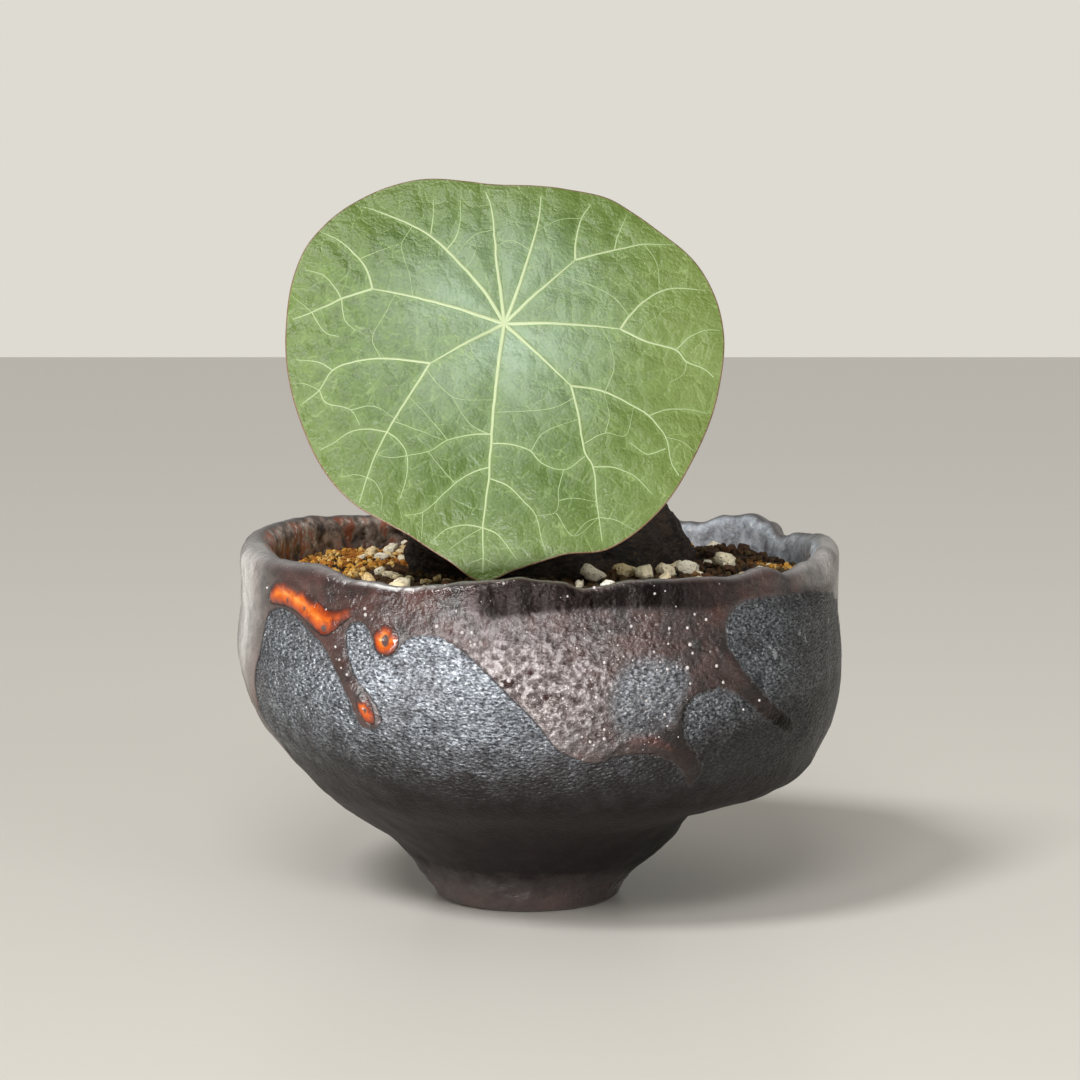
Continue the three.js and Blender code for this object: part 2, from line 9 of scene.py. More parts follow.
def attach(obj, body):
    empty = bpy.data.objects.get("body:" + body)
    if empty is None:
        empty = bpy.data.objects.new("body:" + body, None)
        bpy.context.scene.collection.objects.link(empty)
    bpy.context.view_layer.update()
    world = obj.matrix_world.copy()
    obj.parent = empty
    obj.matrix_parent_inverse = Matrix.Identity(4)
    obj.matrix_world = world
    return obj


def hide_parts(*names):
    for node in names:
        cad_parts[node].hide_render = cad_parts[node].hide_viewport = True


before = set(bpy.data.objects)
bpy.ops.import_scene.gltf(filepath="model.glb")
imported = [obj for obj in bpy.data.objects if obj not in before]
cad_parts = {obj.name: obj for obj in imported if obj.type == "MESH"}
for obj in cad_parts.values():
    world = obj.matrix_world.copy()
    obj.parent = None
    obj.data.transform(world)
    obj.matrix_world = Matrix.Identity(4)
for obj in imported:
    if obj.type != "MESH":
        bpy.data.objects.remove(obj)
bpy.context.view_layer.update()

# Potted stephania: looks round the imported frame. Shapes are worked out in millimetres and become metres
# in addMesh. +Z is up, +X right and +Y back, and the origin is the middle of the pot's underside.
mm = 0.001

scene = bpy.context.scene
scene.view_settings.view_transform = "Standard"


# Helpers

def hexColour(code):
    # sRGB hex to the linear colour that shaders take
    parts = [int(code[i:i + 2], 16) / 255 for i in (1, 3, 5)]
    return [p / 12.92 if p <= 0.04045 else ((p + 0.055) / 1.055) ** 2.4 for p in parts] + [1.0]


def eased(share):
    share = np.clip(share, 0, 1)
    return share * share * (3 - 2 * share)


def bell(distance, width):
    return np.exp(-(distance / width) ** 2)


def turnBetween(a, b):
    return np.abs((a - b + 540) % 360 - 180)


def smoothThrough(x, xs, ys):
    # cubic through the points, whose end slopes follow their neighbours
    i = np.clip(np.searchsorted(xs, x, side="right") - 1, 1, len(xs) - 3)
    span = xs[i + 1] - xs[i]
    slopeA = (ys[i + 1] - ys[i - 1]) / (xs[i + 1] - xs[i - 1]) * span
    slopeB = (ys[i + 2] - ys[i]) / (xs[i + 2] - xs[i]) * span
    t = (x - xs[i]) / span
    return ((2 * t**3 - 3 * t**2 + 1) * ys[i] + (t**3 - 2 * t**2 + t) * slopeA
            + (3 * t**2 - 2 * t**3) * ys[i + 1] + (t**3 - t**2) * slopeB)


def roundTable(table, degrees):
    # value at an angle, eased between the listed angles all the way round
    table = np.array(table, float)
    xs = np.concatenate([[table[-1, 0] - 360], table[:, 0], [table[0, 0] + 360]])
    ys = np.concatenate([[table[-1, 1]], table[:, 1], [table[0, 1]]])
    angle = degrees % 360
    i = np.clip(np.searchsorted(xs, angle, side="right") - 1, 0, len(xs) - 2)
    return ys[i] + (ys[i + 1] - ys[i]) * eased((angle - xs[i]) / (xs[i + 1] - xs[i]))


def roundCurve(table, degrees):
    table = np.array(table, float)
    xs = np.concatenate([table[-3:, 0] - 360, table[:, 0], table[:3, 0] + 360])
    ys = np.concatenate([table[-3:, 1], table[:, 1], table[:3, 1]])
    return smoothThrough(degrees % 360, xs, ys)


def lumps(points, size, seed=0, octaves=3):
    # soft noise of about -1 to 1 whose lumps are this many mm across
    shift = Vector((seed * 17.31, seed * 9.77, seed * 5.13))
    flat = points.reshape(-1, 3) / size
    values = [noise.fractal(Vector(p) + shift, 1.0, 2.0, octaves) for p in flat]
    return np.array(values).reshape(points.shape[:-1])


def evenPath(points, steps):
    # points at even spacing on a smooth curve through the given ones
    points = np.array(points, float)
    padded = np.vstack([2 * points[0] - points[1], points, 2 * points[-1] - points[-2]])
    knots = np.concatenate([[0], np.cumsum(np.linalg.norm(np.diff(padded, axis=0), axis=1) ** 0.5 + 1e-9)])
    fine = []
    for i in range(1, len(padded) - 2):
        k0, k1, k2, k3 = knots[i - 1:i + 3]
        p0, p1, p2, p3 = padded[i - 1:i + 3]
        t = np.linspace(k1, k2, 24, endpoint=i == len(padded) - 3)[:, None]
        a1 = (k1 - t) / (k1 - k0) * p0 + (t - k0) / (k1 - k0) * p1
        a2 = (k2 - t) / (k2 - k1) * p1 + (t - k1) / (k2 - k1) * p2
        a3 = (k3 - t) / (k3 - k2) * p2 + (t - k2) / (k3 - k2) * p3
        b1 = (k2 - t) / (k2 - k0) * a1 + (t - k0) / (k2 - k0) * a2
        b2 = (k3 - t) / (k3 - k1) * a2 + (t - k1) / (k3 - k1) * a3
        fine.append((k2 - t) / (k2 - k1) * b1 + (t - k1) / (k2 - k1) * b2)
    fine = np.vstack(fine)
    along = np.concatenate([[0], np.cumsum(np.linalg.norm(np.diff(fine, axis=0), axis=1))])
    at = np.linspace(0, along[-1], steps + 1)
    return np.stack([np.interp(at, along, fine[:, k]) for k in range(fine.shape[1])], axis=1), along[-1]


def ringFaces(rows, columns, looped=False):
    i = np.arange(rows if looped else rows - 1)[:, None]
    j = np.arange(columns)[None, :]
    below, above = (i % rows) * columns, ((i + 1) % rows) * columns
    left, right = j, (j + 1) % columns
    corners = [below + left, below + right, above + right, above + left]
    return np.stack(corners, axis=-1).reshape(-1, 4).tolist()


def cappedFaces(rows, columns):
    # the rings' faces, and a fan at each end to its tip; the two tips come after the rings' points
    tips = rows * columns
    last = tips - columns
    pairs = [(j, (j + 1) % columns) for j in range(columns)]
    fans = [[b, a, tips] for a, b in pairs] + [[last + a, last + b, tips + 1] for a, b in pairs]
    return ringFaces(rows, columns) + fans


def placeObject(name, mesh):
    piece = bpy.data.objects.new(name, mesh)
    scene.collection.objects.link(piece)
    return piece


def addValues(mesh, values):
    # each label with a number or a vector for every point
    for label, numbers in values.items():
        numbers = np.asarray(numbers, np.float32)
        kind, field = ("FLOAT_VECTOR", "vector") if numbers.ndim == 2 else ("FLOAT", "value")
        mesh.attributes.new(label, kind, "POINT").data.foreach_set(field, numbers.ravel())


def addMesh(name, points, faces, material, values):
    points = np.asarray(points, float).reshape(-1, 3)
    # a closed shell whose volume comes out negative is inside out
    corners = points[[[f[0], f[k], f[k + 1]] for f in faces for k in range(1, len(f) - 1)]]
    if np.einsum("ij,ij->", corners[:, 0], np.cross(corners[:, 1], corners[:, 2])) < 0:
        faces = [list(reversed(f)) for f in faces]
    mesh = bpy.data.meshes.new(name)
    mesh.from_pydata((points * mm).tolist(), [], faces)
    mesh.update()
    mesh.polygons.foreach_set("use_smooth", [True] * len(mesh.polygons))
    addValues(mesh, values)
    mesh.materials.append(material)
    return placeObject(name, mesh)


def ringTube(centres, sides, outward, radii):
    # rings of points round a path; one corner of the section looks along outward
    centres = np.asarray(centres, float)
    along = np.gradient(centres, axis=0)
    along /= np.linalg.norm(along, axis=1)[:, None]
    out = outward - along * (along @ outward)[:, None]
    out /= np.linalg.norm(out, axis=1)[:, None]
    across = np.cross(along, out)
    turn = np.arange(sides) / sides * 2 * np.pi
    ring = out[:, None] * np.cos(turn)[None, :, None] + across[:, None] * np.sin(turn)[None, :, None]
    return centres[:, None] + ring * np.asarray(radii)[:, None, None]


def fillSockets(node, sockets):
    # input name or number to a value, a hex colour, a node or one of its outputs
    for key, value in sockets.items():
        socket = node.inputs[key]
        if isinstance(value, bpy.types.Node):
            value = next(output for output in value.outputs if output.enabled)
        if isinstance(value, bpy.types.NodeSocket):
            node.id_data.links.new(value, socket)
        else:
            socket.default_value = hexColour(value) if socket.type == "RGBA" else value


def addNode(tree, kind, sockets=None, stops=None, **settings):
    # a shader node is called by the rest of its kind's name, such as Math
    node = tree.nodes.new(kind if "Node" in kind else "ShaderNode" + kind)
    for name, value in settings.items():
        setattr(node, name, value)
    if stops:
        places = node.color_ramp.elements
        places[0].position, places[-1].position = stops[0][0], stops[-1][0]
        places[0].color, places[-1].color = hexColour(stops[0][1]), hexColour(stops[-1][1])
        for place, colour in stops[1:-1]:
            places.new(place).color = hexColour(colour)
    fillSockets(node, sockets or {})
    return node


def newMaterial(name):
    # the material, its add-node function, its shader and the place on the piece in mm
    material = bpy.data.materials.new(name)
    material.use_nodes = True
    material.node_tree.nodes.clear()
    add = partial(addNode, material.node_tree)
    shader = add("BsdfPrincipled")
    add("OutputMaterial", {"Surface": shader})
    spot = add("VectorMath", {0: add("TexCoord").outputs["Object"], 3: 1 / mm}, operation="SCALE")
    return material, add, shader, spot


def geometryTree(name, sizes):
    # a tree with a named input for each size, its add-node function, its inputs and its last node
    tree = bpy.data.node_groups.new(name, "GeometryNodeTree")
    tree.interface.new_socket("Geometry", in_out="INPUT", socket_type="NodeSocketGeometry")
    for label, value in sizes.items():
        kind = "NodeSocketInt" if isinstance(value, int) else "NodeSocketFloat"
        tree.interface.new_socket(label, in_out="INPUT", socket_type=kind)
    tree.interface.new_socket("Geometry", in_out="OUTPUT", socket_type="NodeSocketGeometry")
    add = partial(addNode, tree)
    return tree, add, add("NodeGroupInput").outputs, add("NodeGroupOutput")


def closeTree(add, geometry, smooth, material, result):
    # real meshes with their material, because the export drops instances
    real = add("GeometryNodeRealizeInstances", {"Geometry": geometry})
    even = add("GeometryNodeSetShadeSmooth", {"Geometry": real, "Shade Smooth": smooth})
    shown = add("GeometryNodeSetMaterial", {"Geometry": even, "Material": material})
    fillSockets(result, {"Geometry": shown})


def growPiece(name, source, tree, sizes):
    # runs the tree on source, keeps its result as a plain mesh and takes source away
    modifier = source.modifiers.new(tree.name, "NODES")
    modifier.node_group = tree
    for item in tree.interface.items_tree:
        if item.in_out == "INPUT" and item.name in sizes:
            modifier[item.identifier] = sizes[item.name]
    evaluated = source.evaluated_get(bpy.context.evaluated_depsgraph_get())
    mesh = bpy.data.meshes.new_from_object(evaluated)
    source.modifiers.remove(modifier)
    bpy.data.objects.remove(source)
    mesh.name = name
    return placeObject(name, mesh)


# Camera, light and floor

studio = {
    "cameraPlace": (0, -0.8, 0.176),
    "cameraDips": 6.27,           # degrees below the horizon
    "lens": 108.47,
    "sensorWidth": 36,
    "floorColour": "#dcd8d0",
    "floorRoughness": 0.35,
    "floorReach": 2500,           # mm
    "floorLevel": -0.1,
    "roomColour": "#dedbd2",      # what the camera sees beyond the floor
    "skyColour": "#f3f0e8",
    "skyStrength": 0.36,
    "lampsAimAt": (0, 0, 0.07),
    # kind, place, width (for the sun its spread in degrees), height and strength of each lamp. The window
    # reaches below the floor, as its image in a polished table does, so the floor lets its light through.
    "lamps": {
        "window": ("AREA", (-0.47, -1.05, -0.12), 0.72, 0.3, 26.0),
        "skylight": ("SUN", (-0.75, -0.85, 1.35), 14, 0, 1.8),
        "front": ("AREA", (-0.1, -1.0, 0.88), 0.5, 0.34, 7.0),
        "fill": ("AREA", (0.9, -1.1, 0.5), 0.5, 0.3, 3.4),
    },
}


def makeStudio():
    camera = placeObject("camera", bpy.data.cameras.new("camera"))
    camera.data.lens = studio["lens"]
    camera.data.sensor_width = studio["sensorWidth"]
    camera.location = studio["cameraPlace"]
    camera.rotation_euler = (math.radians(90 - studio["cameraDips"]), 0, 0)
    scene.camera = camera
    for name, (kind, place, width, height, power) in studio["lamps"].items():
        lamp = placeObject(name, bpy.data.lights.new(name, kind))
        lamp.data.energy = power
        if kind == "SUN":
            lamp.data.angle = math.radians(width)
        else:
            lamp.data.shape = "RECTANGLE"
            lamp.data.size, lamp.data.size_y = width, height
        lamp.visible_camera = False
        lamp.location = place
        aim = Vector(studio["lampsAimAt"]) - lamp.location
        lamp.rotation_euler = aim.to_track_quat("-Z", "Y").to_euler()
    scene.world = bpy.data.worlds.new("room")
    scene.world.use_nodes = True
    scene.world.node_tree.nodes.clear()
    add = partial(addNode, scene.world.node_tree)
    sky = add("Background", {"Color": studio["skyColour"], "Strength": studio["skyStrength"]})
    room = add("Background", {"Color": studio["roomColour"]})
    shown = add("MixShader", {0: add("LightPath").outputs["Is Camera Ray"], 1: sky, 2: room})
    add("OutputWorld", {"Surface": shown})
    # satin paint: even, pale, a soft sheen
    material, add, shader, _ = newMaterial("satinPaintedBoard")
    fillSockets(shader, {"Base Color": studio["floorColour"], "Roughness": studio["floorRoughness"]})
    reach, level = studio["floorReach"], studio["floorLevel"]
    corners = [[x * reach, y * reach, level] for x, y in ((-1, -1), (1, -1), (1, 1), (-1, 1))]
    floor = addMesh("floor", corners, [[0, 1, 2, 3]], material, {})
    floor.visible_shadow = False


makeStudio()
print("studio ready")


# The bowl: the same wall as the frame's, with finer columns and rows, glaze relief and glaze colours

bowl = {
    "columns": 440,
    "outerRows": 150,
    "lipRows": 16,
    "rimRows": 30,                # inner rows between the lip and the level where the relief ends
    "reliefEnds": 66,
    "innerLevels": (56, 48, 42, 36, 32, 28, 24, 21, 18, 15),
    "wall": 5.5,
    "lipBlend": 18,
    "floorHeight": 9.5,
    "footBevel": 0.8,
    "footRing": 6,
    "footRecess": 2.5,
    "drainRadius": 5.5,
    "footCentre": (-3, -2),
    "footCentreFades": 45,
}
wallHeights = [0, 5, 10, 16, 20, 24, 30, 38, 48, 60, 74, 90]
wallRadii = {
    "right": [22.5, 25, 30.4, 36, 38, 43, 63.5, 69.5, 73.2, 74.5, 73.2, 73],
    "back": [23, 26.5, 31, 38, 43.5, 49.5, 59.5, 67.5, 72.5, 74.5, 74, 73],
    "left": [22.5, 26, 29.6, 35.8, 42.7, 48.9, 55.7, 63.5, 71.1, 75, 74, 74],
    "front": [23.5, 26.5, 30.3, 37.4, 42.3, 48, 59, 66.8, 71.7, 73.3, 72.3, 71],
}
rimCrest = [
    (1, 88.8), (18, 87.6), (26, 85.8), (33, 88.3), (40, 89.7), (47, 88.7), (54, 86.1), (75, 87.4),
    (100, 88.2), (120, 87.6), (135, 88.9), (150, 90), (170, 89.4), (190, 87.8), (222, 87.1),
    (234, 84.9), (244, 84.1), (256, 85.4), (266, 87), (274, 85.9), (278, 84.3), (288, 86),
    (302, 85.8), (309, 85.4), (318, 86.4), (327, 84.3), (335, 85.7), (345, 88.4),
]
lipThickness = [
    (0, 6.4), (40, 5), (90, 5), (135, 5.6), (165, 7), (190, 8), (215, 6), (240, 4), (270, 3.4),
    (300, 3.6), (325, 4.6), (340, 6.2),
]
# where the potter's hands pushed the wall: angle, height, push, half-width in degrees and in mm
wallPushes = [
    (207, 62, 1.1, 8, 22), (190, 66, -1.2, 9, 24), (232, 52, 0.9, 11, 16), (277, 79, -1.6, 14, 7),
    (268, 62, 1.0, 16, 12), (307, 50, 1.3, 9, 10), (322, 66, 1.2, 12, 12), (313, 74, -1.0, 6, 12),
    (327, 84, -2.4, 6, 6), (343, 84, 1.2, 9, 8), (40, 84, 1.4, 12, 10), (26, 84, -1.4, 8, 8),
    (95, 58, 1.0, 22, 16), (140, 46, -1.0, 14, 16),
]
# smaller folds and dents that only the fine surface carries
wallFolds = [
    (258, 82, 0.5, 2.5, 5), (262.5, 81, -0.7, 2, 5), (266, 81, 0.5, 1.8, 5), (269, 81, -0.5, 1.6, 4),
    (273, 80, 0.45, 2.2, 4), (284, 80, -0.4, 5, 4), (296, 81, 0.5, 4, 4), (246, 80, -0.5, 5, 4),
    (221, 84, 0.5, 4, 3), (232, 83, -0.4, 3, 3), (300, 26, 0.7, 9, 5), (262, 24, -0.6, 8, 5),
    (240, 12, 0.6, 10, 4), (285, 9, -0.7, 9, 5), (305, 12, 0.7, 8, 4), (215, 10, -0.6, 9, 4),
    (20, 60, 0.6, 6, 8), (60, 70, -0.6, 5, 9), (120, 72, 0.6, 6, 8), (165, 60, -0.6, 7, 9),
    (30, 14, 0.6, 9, 5), (80, 10, -0.6, 10, 5), (130, 12, 0.6, 9, 5), (170, 9, -0.5, 9, 4),
]


def sideRadius(side, height):
    xs = np.array([wallHeights[0] - 4, *wallHeights, wallHeights[-1] + 4], float)
    radii = wallRadii[side]
    return smoothThrough(height, xs, np.array([radii[0], *radii, radii[-1]], float))


def pushed(pushes, degrees, height):
    total = 0 * degrees + 0 * height
    for at, level, push, halfAngle, halfHeight in pushes:
        total = total + push * np.exp(-(turnBetween(degrees, at) / halfAngle) ** 2
                                      - ((height - level) / halfHeight) ** 2)
    return total


def wallRadius(degrees, height):
    cos, sin = np.cos(np.radians(degrees)), np.sin(np.radians(degrees))
    sideways = np.where(cos > 0, sideRadius("right", height), sideRadius("left", height))
    lengthways = np.where(sin > 0, sideRadius("back", height), sideRadius("front", height))
    return cos**2 * sideways + sin**2 * lengthways + pushed(wallPushes, degrees, height)


def bowlPoint(degrees, radius, height):
    angle = np.radians(degrees)
    shift = 1 - eased(height / bowl["footCentreFades"])
    return np.stack([bowl["footCentre"][0] * shift + radius * np.cos(angle),
                     bowl["footCentre"][1] * shift + radius * np.sin(angle), height + 0 * radius], axis=-1)


def innerWall(degrees, height, extra=0.0):
    slope = wallRadius(degrees, height + 0.5) - wallRadius(degrees, height - 0.5)
    lip = roundTable(lipThickness, degrees)
    blend = eased((roundTable(rimCrest, degrees) - lip / 2 - height) / bowl["lipBlend"])
    thickness = lip + (bowl["wall"] - lip) * blend + extra
    tilt = blend * slope
    length = np.hypot(1, tilt)
    return wallRadius(degrees, height) - thickness / length, height + thickness * tilt / length


# Glaze: outlines on the wall as angle and height. The leathery skin shows where the glassy coat ran thin.

skinOutlines = {
    "belly": [
        (199, 30), (202, 46), (205, 56), (208.4, 63), (209, 70), (210, 75), (213.4, 76.8), (217.4, 76.4),
        (220.6, 74.4), (224, 71.8), (227.4, 69.6), (230.2, 65), (233, 60), (234.6, 56), (236, 51),
        (240, 51.6), (240.4, 55), (238.6, 59), (236, 62), (234, 66), (232.6, 70), (232.2, 73),
        (233.6, 75.4), (235.6, 76), (237.4, 74.8), (238.6, 72), (240, 68.6), (242.4, 68.2), (244, 70.4),
        (245.4, 72.8), (248.8, 73.8), (251.8, 73.6), (254.2, 72.2), (257, 69.8), (260.8, 65.6),
        (263.2, 62.8), (265.4, 59.8), (268, 56.6), (270.4, 52.8), (272.6, 48.6), (275, 46.6),
        (279.2, 44.6), (281.6, 44.8), (283.8, 46.2), (287.4, 46.8), (291.6, 46.2), (295, 44.6),
        (297.4, 42.2), (299.8, 39), (303, 35), (308, 30), (290, 22), (250, 22), (215, 24),
    ],
    "lobe": [
        (300, 34), (302.6, 40.6), (301, 43.8), (298.4, 47), (296.4, 50.6), (296.2, 54.4), (297, 57.8),
        (299, 60), (302, 61), (305.4, 60.4), (308.6, 58.6), (311.4, 55.8), (314.8, 52.4), (318, 50),
        (322, 47.8), (327, 46.2), (337, 40), (352, 32), (340, 24), (310, 24),
    ],
    "right": [
        (305.8, 70.8), (306, 75.4), (307.8, 78.6), (311, 80.2), (317.2, 80.4), (324, 80), (334, 79.2),
        (345, 77.6), (354, 73), (358, 63), (356, 51), (350, 41), (340, 37), (330, 38), (325.6, 43),
        (324.4, 49.6), (319.4, 53.2), (314.6, 57.2), (311, 61.4), (308, 66),
    ],
}
softSkin = [
    (283.2, 54.4), (282.4, 60), (284, 65.6), (287.6, 68.4), (292.4, 68.4), (296.4, 66), (297.2, 62.4),
    (294.8, 57.6), (294.4, 53.6), (290.8, 51.8), (287.2, 51.2), (284.4, 52),
]
amberStreak = [
    (210.2, 78.6), (210.8, 80.6), (213, 82.6), (216.2, 83.8), (219.4, 83.4), (221.8, 82), (224, 80.4),
    (226.2, 78.8), (228.2, 77.6), (230.4, 78.2), (232.8, 79.4), (235.4, 79.8), (235.6, 78.2), (233.4, 76.6),
    (231.4, 74.8), (229.8, 73), (227.6, 71.5), (225.2, 72.7), (222.8, 74.3), (220.2, 76.1), (217.2, 77.2),
    (214, 77.5), (211.4, 77.2),
]
# amber drops: angle, height, half-width, half-height and lean in mm
amberDrops = [(241.4, 72.3, 3.3, 3.7, 0), (237.5, 55.9, 2.0, 3.6, -0.9)]
amberPits = [
    (241.3, 72, 1.0, 1.5), (237.3, 55.6, 0.5, 0.7), (227.2, 73.4, 0.9, 0.9), (214.8, 80.4, 0.5, 0.6),
    (216.6, 78.8, 0.5, 0.7), (221.6, 77.4, 0.45, 0.7), (229.4, 76.4, 0.4, 0.6), (231, 75.2, 0.4, 0.6),
    (225.6, 78.4, 0.4, 0.5), (234.4, 77.4, 0.5, 0.7), (235, 79.8, 0.5, 0.6), (240, 74.6, 0.5, 0.6),
    (223.4, 80.6, 0.35, 0.5), (219, 81.2, 0.35, 0.5), (231, 69.4, 0.4, 0.6), (232.4, 66.6, 0.35, 0.5),
    (234, 63.4, 0.35, 0.5), (248.8, 77, 0.5, 0.5), (253, 74.6, 0.6, 0.7), (260, 72.4, 0.7, 0.7),
    (264.4, 63.8, 1.3, 1.0), (268.2, 66, 0.8, 0.7), (271, 60.4, 0.8, 0.8), (275.4, 69, 0.7, 0.6),
    (279, 63, 0.8, 0.7), (273, 73.4, 0.6, 0.6), (283.4, 49.6, 0.6, 0.6), (298, 71.4, 0.6, 0.7),
]
# pale streaks on the right, painted highlights: angle, height, half-width and half-height in mm
paleGlintStreaks = [
    (316.4, 68.6, 0.7, 1.5), (317.6, 66.6, 0.8, 1.7), (325.4, 70.8, 0.8, 1.0), (327.4, 69.4, 0.6, 1.5),
    (341.2, 71, 0.6, 1.7), (352, 74, 0.5, 1.8), (204, 70, 0.6, 1.4),
]
# the larger beads of glass: angle, height and radius in mm
laidBeads = [
    (236.8, 77.6, 0.5), (236.6, 79, 0.45), (229.6, 77.2, 0.4), (231.2, 76.2, 0.5), (227.6, 77.8, 0.35),
    (219.2, 78, 0.4), (251.2, 76, 0.5), (254.8, 79.6, 0.3), (256, 74.8, 0.5), (257.8, 74.8, 0.45),
    (258.4, 72.2, 0.45), (228, 74.8, 0.45), (209.6, 80.8, 0.35), (214.8, 81.2, 0.3), (212.8, 79, 0.35),
    (230.4, 69.6, 0.35), (231.6, 66.8, 0.35), (232.2, 65, 0.3), (233.6, 63.6, 0.4), (234.8, 61.6, 0.35),
    (240.6, 73.2, 0.45), (237, 56.2, 0.4), (264.6, 64.4, 0.6), (263.4, 63.4, 0.5), (266.4, 63.2, 0.45),
    (298, 71.2, 0.5), (297.2, 66, 0.5), (293.2, 66, 0.45), (298.4, 69.2, 0.35), (304.4, 62, 0.45),
    (310.8, 61.2, 0.4), (312.8, 56.8, 0.35), (308.8, 55.2, 0.3), (294, 75.2, 0.35), (297.6, 75, 0.4),
    (299.2, 78, 0.35), (301.6, 76.6, 0.4), (286.8, 76, 0.4), (304, 70.4, 0.35), (302, 69.2, 0.3),
    (283, 48, 0.4), (284.6, 50.2, 0.45), (281, 46.4, 0.4), (292.4, 49, 0.35), (279, 50, 0.4),
    (298.4, 43.6, 0.4),
]
# ridges where the coat gathered: route of angle and height, how proud, half-width
glazeRidges = [
    ([(303.6, 69.5), (308, 63.6), (311.6, 59.4), (316.8, 54.6), (324, 49.6), (331, 46)], 0.6, 1.3),
    ([(280.8, 46.4), (283, 48.6), (286, 50), (290, 50), (293, 48.6), (296, 46), (299.2, 42.4)], 0.5, 1.1),
    ([(229.4, 72.6), (231.4, 69), (233.4, 64), (236, 59)], 0.45, 1.0),
]
degreeArc = 1.27                  # mm of wall to a degree at the bowl's widest
# the fold under the lip, where the painted shadow ends: angle and height
lipShadowFold = [(250, 84), (256, 81), (261, 78), (265, 78.2), (271, 79), (277, 79.6), (290, 79.6), (303, 78.6),
            (316, 80)]
# the back of the bowl repeats the front's outlines, turned round and eased apart
backStretch, backStart = 0.98, 22
# patches as angle, half-width in degrees, height and half-height in mm
glaze = {
    "boiled": (281, 19, 62, 17),
    "boiledBehind": (95, 18, 60, 15),
    # the metal lustre, its colour painted lighter as a highlight
    "lustre": (268, 15, 61, 11),
    # how red, then the patch
    "reddened": [(0.34, 278, 12, 64, 15), (0.9, 203, 2.5, 54, 4), (0.6, 304.5, 2.5, 79, 3),
                 (0.3, 80, 14, 66, 14)],
    # how satin and how much painted light, angle, half-width, the height where it begins and over how much
    # it grows
    "facets": [(1, 193, 11, 50, 16), (1, 352, 9, 44, 34), (0.5, 340, 9, 79, 3)],
    "lowReliefFades": 18,         # the foot has more of the middle lumps below this height
}


def onWall(outline, behind=False):
    spots = np.array(outline, float)
    if behind:
        spots[:, 0] = backStart + (348 - spots[:, 0]) * backStretch
    return spots * [degreeArc, 1]


def roundedOff(outline, rounds=2):
    for _ in range(rounds):
        after = np.roll(outline, -1, axis=0)
        cut = [0.75 * outline + 0.25 * after, 0.25 * outline + 0.75 * after]
        outline = np.stack(cut, axis=1).reshape(-1, 2)
    return outline


def lineDistance(spots, route, closed=False):
    best = np.full(len(spots), 1e9)
    ends = np.roll(route, -1, axis=0) if closed else route[1:]
    for a, b in zip(route, ends):
        edge = b - a
        t = np.clip((spots - a) @ edge / max(edge @ edge, 1e-9), 0, 1)
        best = np.minimum(best, np.linalg.norm(spots - a - t[:, None] * edge, axis=1))
    return best


def depthInside(spots, outline):
    # distance to the outline in mm, positive inside
    inside = np.zeros(len(spots), bool)
    x, y = spots.T
    for a, b in zip(outline, np.roll(outline, -1, axis=0)):
        if a[1] != b[1]:
            inside ^= ((a[1] > y) != (b[1] > y)) & (x < (b[0] - a[0]) * (y - a[1]) / (b[1] - a[1]) + a[0])
    best = lineDistance(spots, outline, closed=True)
    return np.where(inside, best, -best)


def glazeValues(degrees, height):
    # what the glaze does at each place of the wall, for the relief and for the shader
    spots = np.stack([degrees.ravel() * degreeArc, height.ravel()], axis=1)
    skin, soft, amber, pits, paleGlint = (np.full(len(spots), -99.0) for _ in range(5))
    ridge = np.zeros(len(spots))
    for behind in (False, True):
        outlines = [(skin, outline) for outline in skinOutlines.values()] + [(soft, softSkin)]
        if not behind:
            outlines.append((amber, amberStreak))
        for found, outline in outlines:
            found[:] = np.maximum(found, depthInside(spots, roundedOff(onWall(outline, behind))))
        for at, level, halfWidth, halfHeight, lean in amberDrops:
            off = spots - onWall([(at, level)], behind)[0]
            off[:, 0] -= lean * off[:, 1] / halfHeight * (-1 if behind else 1)
            reach = np.hypot(off[:, 0] / halfWidth, off[:, 1] / halfHeight)
            amber = np.maximum(amber, (1 - reach) * halfWidth * 1.5)
        for found, places in ((pits, amberPits), (paleGlint, paleGlintStreaks)):
            for at, level, halfWidth, halfHeight in places:
                off = spots - onWall([(at, level)], behind)[0]
                reach = np.hypot(off[:, 0] / halfWidth, off[:, 1] / halfHeight)
                found[:] = np.maximum(found, (1 - reach) * halfWidth)
        for route, proud, halfWidth in glazeRidges:
            ridge = np.maximum(ridge, proud * bell(lineDistance(spots, onWall(route, behind)), halfWidth))
    return [v.reshape(degrees.shape) for v in (skin, soft, amber, pits, paleGlint, ridge)]


